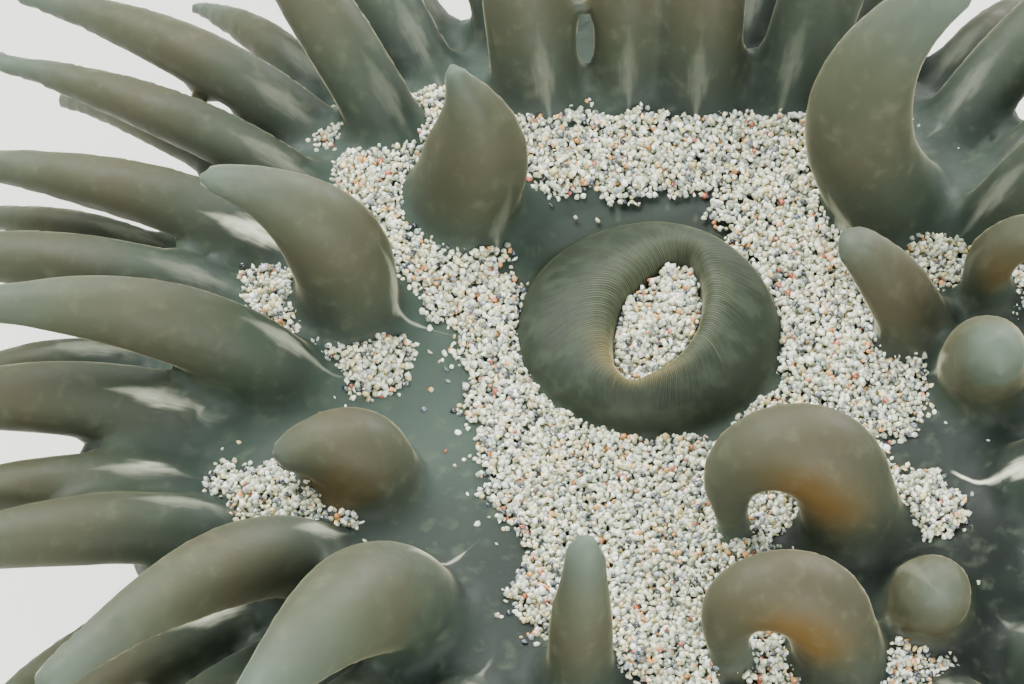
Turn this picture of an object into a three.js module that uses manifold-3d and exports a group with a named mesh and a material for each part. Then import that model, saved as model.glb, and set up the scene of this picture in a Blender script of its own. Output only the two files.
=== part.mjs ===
// A green sea anemone of the sand flats, life size, open and at rest: foot, column, collar, oral disc,
// mouth and five cycles of tentacles. It is a still model, so nothing turns or slides.
// Millimetres and degrees, +Z up. The origin is the middle of the sole; azimuth 0 is +X and 90 is +Y.

import * as THREE from "three";
import { mergeVertices } from "three/addons/utils/BufferGeometryUtils.js";
import Module from "manifold-3d";

const wasm = await Module();
wasm.setup();

// ---- Driving dimensions ------------------------------------------------------------------------

const GAP = 0.25; // clearance that neighbouring pieces keep
const SIDES = 28; // facets round the body
const SLIVER = 0.03; // facets narrower than this are merged after a cut

// Outline of the body from the sole up to the rim of the collar, as radius and height.
const SOLE_RADIUS = 17.6;
const BODY_OUTLINE = [
  [SOLE_RADIUS, 0],
  [17.2, 1.5],
  [15.4, 4.5],
  [14.5, 9.5],
  [15.2, 15.5],
  [17.8, 21.0],
  [20.1, 24.4],
];
const FOOT_TOP = 2.6; // the foot meets the column here
const WAIST_HEIGHT = 13.5; // lower column meets upper column here
const COLLAR_BOTTOM = 21.2;
const COLLAR = { radius: 20.4, top: 25.0, shoulder: 24.2 }; // its rim stands free of the disc

// The oral disc: a shallow dish that rolls down to its edge and narrows under it to its seat.
const DISC = { radius: 18.7, seat: 15.4, shoulder: 13.0, height: 27.0, dish: 1.1, roll: 0.06 };
const DISC_BOTTOM = COLLAR_BOTTOM + GAP;

// The mouth is a slit inside a thick round lip, a little behind the middle of the disc.
const MOUTH = { y: 2.3, slitX: 0.3, slitY: -0.5, slitLength: 6.2, slitWidth: 2.9, slitTurn: -21, pinch: 0.22 };
const LIP = { radius: 4.9, height: 1.9, bottom: 23.4 };
const THROAT = { radius: 5.4, bottom: 17.5, floor: 1.6 };

// Tentacles stand in five cycles. Each grows from the disc at `ring` from its middle, every
// 360/count degrees from `phase`. It leaves the disc at the slope `rise` and ends at the slope
// `fall`, both above the horizon; `ease` under 1 bends it mostly near the root, and `snap` 1 bends
// it mostly half way. `tip` is the share of its girth that is left at the tip. The small tentacles
// of the fifth cycle grow from the collar and are one piece with it.
const CYCLES = [
  {
    name: "first", count: 6, phase: 174, ring: 11.2, length: 12.0, girth: 4.0, rise: 88, fall: 20,
    ease: 0.8, tip: 0.44,
  },
  {
    name: "second", count: 6, phase: 144, ring: 11.6, length: 12.5, girth: 3.7, rise: 84, fall: 14,
    ease: 0.8, tip: 0.42,
  },
  {
    name: "third", count: 12, phase: 159, ring: 14.6, length: 14.5, girth: 3.3, rise: 60, fall: 0,
    ease: 0.7, tip: 0.42,
  },
  {
    name: "fourth", count: 24, phase: 151.5, ring: 17.5, length: 15.5, girth: 2.8, rise: 36,
    fall: -22, ease: 0.7, tip: 0.42,
  },
  {
    name: "fifth", count: 24, phase: 159, ring: 19.6, length: 9.5, girth: 1.8, rise: 24, fall: -34,
    ease: 0.5, tip: 0.5,
  },
];

// No two tentacles of a cycle are quite alike: shares of length, and degrees of bend and sway.
const VARIETY = { length: 0.06, fall: 7, sway: 9 };

// What single tentacles do differently. `turn` shifts a root round the disc, `aim` is the compass
// direction in which a tentacle leans instead of straight outward, and `sway` turns it further on
// the way to its tip.
const POSES = {
  first_1: {
    turn: -9, ring: 11.8, length: 9.8, girth: 3.9, rise: 104, fall: -2, ease: 1, sway: 0, aim: 172,
    tip: 0.3,
  },
  first_2: {
    turn: -3.5, ring: 14.1, length: 13.5, girth: 4.1, rise: 66, fall: -8, ease: 1, sway: 0, aim: 240,
  },
  first_3: {
    turn: 2.7, ring: 14.8, length: 11.8, girth: 3.3, rise: 78, fall: -100, snap: 1, sway: 0,
    aim: 181, tip: 0.36,
  },
  first_4: {
    turn: 4.2, ring: 12.2, length: 6.6, girth: 3.4, rise: 72, fall: 44, ease: 1, sway: 0, aim: 272,
    tip: 0.6,
  },
  first_5: {
    turn: -13, ring: 12.3, length: 14, girth: 4.2, rise: 124, fall: 34, ease: 1, sway: 0, aim: 8,
  },
  first_6: { turn: -6.7, ring: 14.2, girth: 3.4, rise: 80 },
  second_1: {
    turn: -11.5, ring: 10.8, length: 8.4, girth: 4.2, rise: 116, fall: 60, ease: 1, sway: 0,
    aim: 178, tip: 0.22,
  },
  second_2: {
    turn: 2, ring: 11.5, length: 4.9, girth: 3.7, rise: 96, fall: -50, ease: 1, sway: 0, aim: 186,
    tip: 0.36,
  },
  second_3: {
    turn: -5, ring: 14.2, length: 7.4, girth: 2.5, rise: 88, fall: 78, ease: 1, aim: 80, tip: 0.55,
  },
  second_4: {
    turn: -7.8, ring: 10.2, length: 12.6, girth: 3.7, rise: 78, fall: -95, snap: 1, sway: 0,
    aim: 181, tip: 0.3,
  },
  second_5: {
    turn: -12.5, ring: 10.2, length: 6.6, girth: 2.7, rise: 74, fall: 50, ease: 1, aim: 178,
    tip: 0.6,
  },
  second_6: { turn: -3, ring: 13.6, girth: 3.0, rise: 80, fall: 40 },
  third_1: {
    turn: -2.1, ring: 14.9, length: 15, girth: 2.5, rise: 36, fall: -16, ease: 0.4, sway: 0,
    aim: 162,
  },
  third_2: {
    turn: -7, ring: 13.6, length: 14.5, girth: 3.1, rise: 60, fall: -14, sway: 0, aim: 180,
    tip: 0.36,
  },
  third_3: { turn: -3.5, ring: 15.2, length: 15, girth: 3.1, rise: 64, fall: -6, sway: 0, aim: 226 },
  third_4: { turn: -3, ring: 16.6, girth: 3.0, rise: 34 },
  third_5: { ring: 16.2, girth: 3.0, rise: 50 },
  third_6: {
    turn: 3.9, ring: 14.3, length: 3.4, girth: 3.0, rise: 62, fall: 50, ease: 1, sway: 0, aim: 280,
    tip: 0.88,
  },
  third_7: { ring: 14.8, rise: 58 },
  third_8: {
    turn: 5, ring: 13.2, length: 8.0, girth: 2.0, rise: 116, fall: -30, ease: 1, sway: 0, aim: 350,
    tip: 0.6,
  },
  third_9: { turn: -12, ring: 14.8, girth: 3.2 },
  third_10: { turn: -2 },
  third_11: { turn: -6, ring: 13.8, girth: 2.5, length: 10, rise: 80, fall: 56 },
  third_12: { turn: 1, ring: 15.2, girth: 2.8, rise: 50 },
  fourth_1: {
    turn: -6, ring: 16.0, length: 14.5, girth: 2.2, rise: 36, fall: -16, ease: 0.4, sway: 0,
    aim: 152,
  },
  fourth_2: {
    turn: 1, ring: 16.6, length: 14.5, girth: 2.6, rise: 34, fall: -18, ease: 0.4, sway: 0, aim: 168,
  },
  fourth_3: {
    turn: 4, ring: 17.0, length: 14, girth: 2.9, rise: 36, fall: -18, ease: 0.4, sway: 0, aim: 178,
  },
  fourth_4: {
    turn: -2, ring: 17.9, length: 13, girth: 2.2, rise: 30, fall: -18, ease: 0.4, sway: 0, aim: 184,
  },
  fourth_5: {
    turn: -8.5, ring: 17.6, length: 14, girth: 2.7, rise: 38, fall: -18, ease: 0.5, sway: 0,
    aim: 189,
  },
  fourth_6: {
    turn: -13, ring: 18.2, length: 13, girth: 2.3, rise: 32, fall: -20, ease: 0.5, sway: 0, aim: 214,
  },
  fourth_7: {
    turn: -18, ring: 18.0, length: 13, girth: 2.5, rise: 34, fall: -20, ease: 0.5, sway: 0, aim: 222,
  },
  fourth_8: { turn: -22 },
  fourth_9: { turn: -12 },
  fourth_10: { turn: 3 },
  fourth_11: { turn: 4.5, ring: 17.9 },
  fourth_12: { turn: 2, ring: 18.0, girth: 2.5 },
  fourth_13: { turn: -0.5, ring: 17.2 },
  fourth_17: { turn: 4 },
  fourth_23: { turn: -2 },
  fourth_24: {
    turn: -1, ring: 18.0, length: 14.5, girth: 2.4, rise: 34, fall: -20, ease: 0.5, sway: 0,
    aim: 148,
  },
  fifth_3: { girth: 1.5 },
  fifth_4: { turn: 4 },
  fifth_5: { turn: -0.6, girth: 1.4 },
  fifth_6: { turn: -5 },
  fifth_11: { turn: 3.5 },
};

// These bend furthest, so they are made in two lengths that part at `SPLIT_AT` of their own.
const SPLIT = [
  "tentacle_first_01",
  "tentacle_first_03",
  "tentacle_second_01",
  "tentacle_second_02",
  "tentacle_second_04",
];
const SPLIT_AT = 0.5;

// The girth of a tentacle along its length, as shares of length and of girth.
const TENTACLE_SIDES = 7;
const RING_TURN = 32; // degrees of bend that one ring of facets may take
const FEWEST_RINGS = 3;
const TAPER_FROM = 0.28; // share of the length at which the taper starts
const SINK = 3.0; // how far a root runs on under the disc before it is trimmed
const MARGIN = { sink: 0.6, sides: 5, rings: 2 }; // the fifth cycle's roots and facets

// ---- Finishes -----------------------------------------------------------------------------------

const finish = (color, roughness) => new THREE.MeshStandardMaterial({ color, roughness, metalness: 0 });
const FINISH = {
  foot: finish(0x8d8669, 0.55),
  column: finish(0x77775c, 0.5),
  collar: finish(0x66694f, 0.45),
  disc: finish(0x3f4c41, 0.35),
  lip: finish(0x474b38, 0.35),
  throat: finish(0x6a5c33, 0.4),
  tentacle: finish(0x6c6f57, 0.32),
};

// ---- Solids -------------------------------------------------------------------------------------

const radians = THREE.MathUtils.degToRad;
const lerp = THREE.MathUtils.lerp;
const smoothstep = THREE.MathUtils.smoothstep;

/** A manifold solid from a closed three.js geometry. */
function solidOf(geometry) {
  const bare = geometry.clone();
  bare.deleteAttribute("normal");
  bare.deleteAttribute("uv");
  const merged = mergeVertices(bare, 1e-4);
  return new wasm.Manifold(
    new wasm.Mesh({
      numProp: 3,
      vertProperties: merged.getAttribute("position").array,
      triVerts: new Uint32Array(merged.index.array),
    }),
  );
}

/** The three.js geometry of a manifold solid, without the slivers that cuts leave. */
function geometryOf(solid) {
  const { vertProperties, triVerts, numProp, numVert } = solid.simplify(SLIVER).getMesh();
  const positions = new Float32Array(numVert * 3);
  for (let i = 0; i < numVert; i++) {
    positions.set(vertProperties.subarray(i * numProp, i * numProp + 3), i * 3);
  }
  const indexed = new THREE.BufferGeometry();
  indexed.setAttribute("position", new THREE.BufferAttribute(positions, 3));
  indexed.setIndex(new THREE.BufferAttribute(triVerts, 1));
  const flat = indexed.toNonIndexed();
  flat.computeVertexNormals();
  return flat;
}

/** The biggest body of a solid that a cut may have left in several. */
function biggest(solid) {
  return solid.decompose().reduce((best, body) => (body.volume() > best.volume() ? body : best));
}

/** A closed outline of [radius, height] points, turned round the Z axis. */
function revolve(outline, sides = SIDES) {
  const profile = outline.map(([radius, height]) => new THREE.Vector2(radius, height));
  return new THREE.LatheGeometry(profile, sides).rotateX(Math.PI / 2);
}

/** Moves every vertex of a geometry through `place`, a function from Vector3 to Vector3. */
function reshape(geometry, place) {
  const at = geometry.getAttribute("position");
  const point = new THREE.Vector3();
  for (let i = 0; i < at.count; i++) {
    const moved = place(point.fromBufferAttribute(at, i));
    at.setXYZ(i, moved.x, moved.y, moved.z);
  }
  return geometry;
}

// ---- Body ---------------------------------------------------------------------------------------

const outlinePoints = BODY_OUTLINE.map(([radius, height]) => new THREE.Vector2(radius, height));
const OUTLINE = new THREE.SplineCurve(outlinePoints).getPoints(60);

/** The body's radius at a height. */
function bodyRadius(height) {
  const above = OUTLINE.findIndex((p) => p.y >= height);
  if (above <= 0) return OUTLINE[Math.max(above, 0)].x;
  const [low, high] = [OUTLINE[above - 1], OUTLINE[above]];
  return lerp(low.x, high.x, (height - low.y) / (high.y - low.y));
}

/** The height of the disc's upper face at a distance from its middle. */
function discHeight(radius) {
  const dishShare = 1 - Math.min(radius / DISC.shoulder, 1) ** 2;
  const rollOff = Math.max(radius - DISC.shoulder, 0) ** 2 * DISC.roll;
  return DISC.height - DISC.dish * dishShare - rollOff;
}

/** A length of the column between two heights, with `steps` rings up its side. */
function columnLength(bottom, top, steps) {
  const side = Array.from({ length: steps + 1 }, (_, i) => lerp(bottom, top, i / steps));
  return revolve([[0, bottom], ...side.map((height) => [bodyRadius(height), height]), [0, top]]);
}

/** The collar: a soft ring round the top of the column whose rim stands free. */
function collarSolid() {
  const bottom = COLLAR_BOTTOM + GAP;
  const lip = discHeight(DISC.radius) - 0.5;
  return revolve([
    [DISC.seat + GAP, bottom],
    [bodyRadius(bottom), bottom],
    [bodyRadius(22.8), 22.8],
    [COLLAR.radius, COLLAR.shoulder],
    [COLLAR.radius - 0.2, COLLAR.top - 0.25],
    [COLLAR.radius - 0.8, COLLAR.top],
    [DISC.radius + GAP, lip],
    [DISC.seat + GAP, bottom],
  ]);
}

/** The dish of the disc out to `radius`, raised by `raise`, over a seat: [radius, height] points. */
function discOutline(seat, bottom, radius, raise) {
  const rings = [...new Set([0, 5, 9, 13, 15.5, DISC.radius, radius])];
  const top = rings.map((r) => [r, discHeight(r) + raise]).reverse();
  return [[0, bottom], [seat, bottom], ...top];
}

/** Puts a ring of unit width round the slit: radius 1 is the slit's edge and 2 the lip's outer edge. */
function roundMouth(point) {
  const share = Math.hypot(point.x, point.y) - 1;
  const angle = Math.atan2(point.y, point.x);
  const turn = radians(MOUTH.slitTurn);
  const pinched = 1 - MOUTH.pinch * Math.sin(angle - turn) ** 2;
  const slitX = (MOUTH.slitWidth / 2) * Math.cos(angle - turn) * pinched;
  const slitY = (MOUTH.slitLength / 2) * Math.sin(angle - turn);
  const edgeX = slitX * Math.cos(turn) - slitY * Math.sin(turn);
  const edgeY = slitX * Math.sin(turn) + slitY * Math.cos(turn);
  return new THREE.Vector3(
    lerp(edgeX + MOUTH.slitX, LIP.radius * Math.cos(angle), share),
    lerp(edgeY + MOUTH.slitY, LIP.radius * Math.sin(angle), share) + MOUTH.y,
    point.z,
  );
}

/** The thick lip: it rises from the dish, rolls over and runs down into the slit. */
function lipSolid() {
  const seat = discHeight(LIP.radius);
  const crest = seat + LIP.height;
  const outline = [
    [1, LIP.bottom],
    [2, LIP.bottom],
    [2, seat],
    [1.93, seat + LIP.height * 0.36],
    [1.74, seat + LIP.height * 0.68],
    [1.46, seat + LIP.height * 0.92],
    [1.22, crest],
    [1.07, crest - 0.25],
    [1.0, crest - 1.2],
    [1, LIP.bottom],
  ];
  return reshape(revolve(outline), roundMouth);
}

/** The throat: a blind cup under the slit. */
function throatSolid() {
  const top = LIP.bottom - GAP;
  const cup = revolve([[0, THROAT.bottom], [THROAT.radius, THROAT.bottom], [THROAT.radius, top], [0, top]]);
  cup.translate(0, MOUTH.y, 0);
  const floor = THROAT.bottom + THROAT.floor;
  const well = revolve([[0, floor], [0.82, floor + 0.4], [1, floor + 2], [1, top + 1], [0, top + 1]]);
  return solidOf(cup).subtract(solidOf(reshape(well, roundMouth)));
}

/** A plain round cutter on the mouth's axis. */
function mouthCutter(radius, bottom) {
  const cutter = revolve([[0, bottom], [radius, bottom], [radius, DISC.height + 5], [0, DISC.height + 5]]);
  return solidOf(cutter.translate(0, MOUTH.y, 0));
}

// ---- Tentacles ----------------------------------------------------------------------------------

/** The middle line of a tentacle, with a frame of tangent, oral side and left side along it. */
class MiddleLine {
  static STEPS = 48;

  constructor(tentacle) {
    Object.assign(this, tentacle);
    this.points = [this.root.clone()];
    for (let i = 0; i < MiddleLine.STEPS; i++) {
      const { tangent } = this.frame((i + 0.5) / MiddleLine.STEPS);
      const last = this.points[i];
      this.points.push(last.clone().addScaledVector(tangent, this.length / MiddleLine.STEPS));
    }
  }

  frame(share) {
    const t = THREE.MathUtils.clamp(share, 0, 1);
    const bend = lerp(t ** this.ease, smoothstep(t, 0.18, 0.82), this.snap);
    const slope = radians(lerp(this.rise, this.fall, bend));
    const course = radians(this.course + this.sway * t);
    const outward = new THREE.Vector3(Math.cos(course), Math.sin(course), 0);
    const up = new THREE.Vector3(0, 0, 1);
    const tangent = outward.clone().multiplyScalar(Math.cos(slope)).addScaledVector(up, Math.sin(slope));
    const oral = outward.clone().multiplyScalar(-Math.sin(slope)).addScaledVector(up, Math.cos(slope));
    return { tangent, oral, side: new THREE.Vector3().crossVectors(tangent, oral) };
  }

  point(share) {
    if (share <= 0) return this.points[0].clone().addScaledVector(this.frame(0).tangent, share * this.length);
    const scaled = Math.min(share, 1) * MiddleLine.STEPS;
    const below = Math.min(Math.floor(scaled), MiddleLine.STEPS - 1);
    return this.points[below].clone().lerp(this.points[below + 1], scaled - below);
  }

  /** Where a vertex of a straight tentacle on the Y axis goes. */
  place(vertex) {
    const share = vertex.y / this.length;
    const { oral, side } = this.frame(share);
    return this.point(share).addScaledVector(side, vertex.x).addScaledVector(oral, vertex.z);
  }
}

/** The size and bend that the tentacle of this number has by nature. */
function varied(cycle, number) {
  return {
    ...cycle,
    turn: 0,
    snap: 0,
    length: cycle.length * (1 + VARIETY.length * Math.sin(number * 1.9)),
    fall: cycle.fall + VARIETY.fall * Math.sin(number * 2.6),
    sway: VARIETY.sway * Math.sin(number * 4.1),
  };
}

/** Every tentacle of the crown, with its cycle's sizes and its own pose. */
function crown() {
  return CYCLES.flatMap((cycle) =>
    Array.from({ length: cycle.count }, (_, i) => {
      const name = `tentacle_${cycle.name}_${String(i + 1).padStart(2, "0")}`;
      const own = { ...varied(cycle, i + 1), ...POSES[`${cycle.name}_${i + 1}`] };
      const azimuth = cycle.phase + (i * 360) / cycle.count + own.turn;
      const root = new THREE.Vector3(
        own.ring * Math.cos(radians(azimuth)),
        own.ring * Math.sin(radians(azimuth)),
        discHeight(own.ring),
      );
      return { ...own, name, root, course: own.aim ?? azimuth };
    }),
  );
}

/** A tentacle's radius at a share of its length: full at the root, then tapering to the tip. */
function tentacleRadius(line, share) {
  return (line.girth / 2) * lerp(1, line.tip, smoothstep(share, TAPER_FROM, 1.05));
}

/** How many rings of facets a tentacle needs between two shares of its length. */
function ringsFor(line, from, to) {
  const bend = Math.abs(line.rise - line.fall) * (to - from);
  return Math.max(Math.round(FEWEST_RINGS * (to - from)), Math.round(bend / RING_TURN), 2);
}

/** One length of a tentacle between two shares of its length; the last share, 1, is the tip. */
function tentacleLength(line, from, to, sides = TENTACLE_SIDES, rings = ringsFor(line, from, to)) {
  const { length } = line;
  const tipRadius = tentacleRadius(line, 1);
  const last = to === 1 ? 1 - tipRadius / length : to;
  const wall = Array.from({ length: rings + 1 }, (_, i) => {
    const share = lerp(from, last, i / rings);
    return [tentacleRadius(line, Math.max(share, 0)), share * length];
  });
  const dome = [
    [tipRadius * 0.72, length - tipRadius * 0.32],
    [0, length],
  ];
  const end = to === 1 ? dome : [[0, to * length]];
  const outline = [[0, from * length], ...wall, ...end];
  const profile = outline.map(([radius, along]) => new THREE.Vector2(radius, along));
  return reshape(new THREE.LatheGeometry(profile, sides), (vertex) => line.place(vertex));
}

/** The named geometries of one tentacle, trimmed where its root meets the body. */
function tentaclePieces(tentacle, trimmer) {
  const line = new MiddleLine(tentacle);
  const start = -SINK / tentacle.length;
  const halfGap = GAP / 2 / tentacle.length;
  const spans = SPLIT.includes(tentacle.name)
    ? [["_root", start, SPLIT_AT - halfGap], ["_end", SPLIT_AT + halfGap, 1]]
    : [["", start, 1]];
  return spans.map(([suffix, from, to]) => {
    const whole = solidOf(tentacleLength(line, from, to));
    return [tentacle.name + suffix, geometryOf(biggest(whole.subtract(trimmer)))];
  });
}

/** The collar with the small tentacles of the last cycle that grow from it. */
function collarWith(tentacles) {
  return tentacles.reduce((solid, tentacle) => {
    const line = new MiddleLine(tentacle);
    const from = -MARGIN.sink / tentacle.length;
    return solid.add(solidOf(tentacleLength(line, from, 1, MARGIN.sides, MARGIN.rings)));
  }, solidOf(collarSolid()));
}

// ---- Assembly -----------------------------------------------------------------------------------

const anemone = new THREE.Group();

/** Adds a named piece to the anemone. */
function add(name, geometry, material) {
  const mesh = new THREE.Mesh(geometry, material);
  mesh.name = name;
  anemone.add(mesh);
}

const upperColumn = solidOf(columnLength(WAIST_HEIGHT + GAP, COLLAR_BOTTOM, 3));
const discSolid = solidOf(revolve(discOutline(DISC.seat, DISC_BOTTOM, DISC.radius, 0)));
const overDisc = solidOf(revolve(discOutline(COLLAR.radius, WAIST_HEIGHT, COLLAR.radius, GAP)));
const overCollar = solidOf(
  revolve([
    [0, WAIST_HEIGHT],
    [COLLAR.radius + GAP, WAIST_HEIGHT],
    [COLLAR.radius + GAP, COLLAR.top],
    [COLLAR.radius - GAP, COLLAR.top + GAP],
    [0, COLLAR.top + GAP],
  ]),
);
const overBody = overDisc.add(overCollar);
const tentacles = crown();
const onCollar = (tentacle) => tentacle.name.includes("fifth");

add("foot", columnLength(0, FOOT_TOP - GAP, 2), FINISH.foot);
add("column_lower", columnLength(FOOT_TOP, WAIST_HEIGHT, 4), FINISH.column);
add(
  "column_upper",
  geometryOf(upperColumn.subtract(mouthCutter(THROAT.radius + GAP, THROAT.bottom - GAP))),
  FINISH.column,
);
add("collar", geometryOf(collarWith(tentacles.filter(onCollar))), FINISH.collar);
add(
  "oral_disc",
  geometryOf(
    discSolid
      .subtract(mouthCutter(LIP.radius + GAP, LIP.bottom - GAP))
      .subtract(mouthCutter(THROAT.radius + GAP, THROAT.bottom).trimByPlane([0, 0, -1], -LIP.bottom)),
  ),
  FINISH.disc,
);
add("lips", lipSolid(), FINISH.lip);
add("throat", geometryOf(throatSolid()), FINISH.throat);

for (const tentacle of tentacles.filter((each) => !onCollar(each))) {
  for (const [name, geometry] of tentaclePieces(tentacle, overBody)) {
    add(name, geometry, FINISH.tentacle);
  }
}

export default anemone;
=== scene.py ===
"""Dresses a life-size sea anemone: one seamless skin, its markings and the sand that it holds.

Sizes are millimetres until a mesh is finished and metres from then on. The origin is the middle
of the sole, +Z is up, +Y is the back, and angles are degrees with 0 along +X and 90 along +Y.
"""

import enum
import logging
import math
from dataclasses import dataclass, field
from typing import ClassVar

import bpy
import numpy as np
from mathutils import Matrix, Vector


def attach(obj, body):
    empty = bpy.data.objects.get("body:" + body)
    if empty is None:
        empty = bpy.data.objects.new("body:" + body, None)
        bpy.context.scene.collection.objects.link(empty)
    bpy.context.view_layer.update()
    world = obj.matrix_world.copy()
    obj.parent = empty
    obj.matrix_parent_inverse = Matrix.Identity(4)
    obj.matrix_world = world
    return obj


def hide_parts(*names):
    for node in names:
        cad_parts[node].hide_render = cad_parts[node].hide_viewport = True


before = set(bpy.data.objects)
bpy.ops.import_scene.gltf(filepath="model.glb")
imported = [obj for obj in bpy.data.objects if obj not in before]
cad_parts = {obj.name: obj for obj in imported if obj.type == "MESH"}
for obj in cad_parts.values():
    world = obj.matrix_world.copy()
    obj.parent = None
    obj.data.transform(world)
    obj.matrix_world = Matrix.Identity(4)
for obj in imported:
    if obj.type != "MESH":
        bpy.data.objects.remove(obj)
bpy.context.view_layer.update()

LOG = logging.getLogger("anemone")
MM = 0.001  # metres in a millimetre
FAR = 1e9  # further than anything here
UP = np.array([0.0, 0.0, 1.0])

Number = float | np.ndarray  # one value, or an array of them
Points = np.ndarray  # rows of x, y, z in millimetres
Faces = list[tuple[int, ...]]
Feed = object  # what a socket takes: a number, a colour, a node or another node's output


# ---- Small helpers ------------------------------------------------------------------------------


def smooth(value: Number, low: Number, high: Number) -> np.ndarray:
    """Goes smoothly from 0 at low to 1 at high; low may be the greater."""
    share = np.clip((np.asarray(value, float) - low) / (high - low), 0, 1)
    return share * share * (3 - 2 * share)


def lerp(low: Number, high: Number, share: Number) -> Number:
    """The value that lies at a share of the way from low to high."""
    return low + (high - low) * share


def catmull_rom(knots: np.ndarray, count: int) -> np.ndarray:
    """Points of a smooth curve through knots.

    Args:
        knots: rows of coordinates.
        count: how many spans the curve gets.

    Returns:
        count + 1 rows of coordinates.
    """
    place = np.linspace(0, len(knots) - 1, count + 1)
    at = np.minimum(place.astype(int), len(knots) - 2)
    t = (place - at)[:, None]
    last = len(knots) - 1
    p0, p1 = knots[np.maximum(at - 1, 0)], knots[at]
    p2, p3 = knots[at + 1], knots[np.minimum(at + 2, last)]
    v0, v1 = (p2 - p0) / 2, (p3 - p1) / 2
    cubic = (2 * p1 - 2 * p2 + v0 + v1) * t**3
    return cubic + (-3 * p1 + 3 * p2 - 2 * v0 - v1) * t**2 + v0 * t + p1


def ripple(x: np.ndarray, y: np.ndarray, size: float) -> np.ndarray:
    """An uneven pattern about -1 to 1 whose waves are about size long.

    Args:
        x: places along X.
        y: places along Y.
        size: the length of a wave.

    Returns:
        A value for each place.
    """
    k = 2 * math.pi / size
    waves = np.sin(k * (x + 0.4 * y) + 1.3) + np.sin(k * (0.7 * y - 0.9 * x) * 1.31 + 4.1)
    return (waves + np.sin(k * (1.9 * x + 1.3 * y) + 2.2) * np.sin(k * (1.5 * y - x)) * 1.2) / 3


def linear(colour: str) -> tuple[float, float, float, float]:
    """A colour as the shader takes it, from its usual six-figure form.

    Args:
        colour: a hash sign and six hexadecimal figures.

    Returns:
        Linear red, green, blue and alpha.
    """
    parts = [int(colour[i : i + 2], 16) / 255 for i in (1, 3, 5)]
    lit = [c / 12.92 if c <= 0.04045 else ((c + 0.055) / 1.055) ** 2.4 for c in parts]
    return lit[0], lit[1], lit[2], 1.0


def mesh_object(name: str, points: Points, faces: Faces, scale: float = MM) -> bpy.types.Object:
    """Makes a linked mesh object.

    Args:
        name: the object's name.
        points: its vertices.
        faces: its faces, as vertex numbers.
        scale: what the coordinates are multiplied by.

    Returns:
        The new object, at the origin.
    """
    mesh = bpy.data.meshes.new(name)
    mesh.from_pydata((np.asarray(points) * scale).tolist(), [], faces)
    mesh.update()
    body = bpy.data.objects.new(name, mesh)
    bpy.context.scene.collection.objects.link(body)
    return body


def evaluated_mesh(body: bpy.types.Object) -> bpy.types.Mesh:
    """A plain mesh of an object with its modifiers applied; the object itself is deleted.

    Args:
        body: the object.

    Returns:
        The mesh, which has no object yet.
    """
    graph = bpy.context.evaluated_depsgraph_get()
    mesh = bpy.data.meshes.new_from_object(body.evaluated_get(graph), depsgraph=graph)
    bpy.data.objects.remove(body)
    return mesh


def arrays_of(mesh: bpy.types.Mesh) -> tuple[Points, Faces]:
    """The vertices and faces of a mesh.

    Args:
        mesh: the mesh.

    Returns:
        Rows of coordinates, and the vertex numbers of each face.
    """
    points = np.empty(len(mesh.vertices) * 3)
    mesh.vertices.foreach_get("co", points)
    return points.reshape(-1, 3), [tuple(face.vertices) for face in mesh.polygons]


def set_numbers(mesh: bpy.types.Mesh, name: str, values: np.ndarray) -> None:
    """Stores one number for each vertex of a mesh."""
    layer = mesh.attributes.new(name, "FLOAT", "POINT")
    layer.data.foreach_set("value", np.asarray(values, dtype=np.float32))


def revolved(profile: np.ndarray, sides: int) -> tuple[Points, Faces]:
    """Turns an outline round the Z axis.

    Args:
        profile: rows of radius and height, from the axis below to the axis above.
        sides: how many facets go round.

    Returns:
        The vertices and outward faces of the closed form.
    """
    turn = np.linspace(0, 2 * math.pi, sides, endpoint=False)
    rings = profile[1:-1]
    x = rings[:, :1] * np.cos(turn)
    y = rings[:, :1] * np.sin(turn)
    z = np.repeat(rings[:, 1:], sides, axis=1)
    points = np.stack([x, y, z], axis=2).reshape(-1, 3)
    low, high = len(points), len(points) + 1
    points = np.vstack([points, [0, 0, profile[0, 1]], [0, 0, profile[-1, 1]]])
    faces: Faces = []
    top = (len(rings) - 1) * sides
    for j in range(sides):
        k = (j + 1) % sides
        faces.append((low, k, j))
        faces.append((high, top + j, top + k))
        faces += [
            (i * sides + j, i * sides + k, (i + 1) * sides + k, (i + 1) * sides + j)
            for i in range(len(rings) - 1)
        ]
    return points, faces


# ---- Form of the body ---------------------------------------------------------------------------


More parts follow.
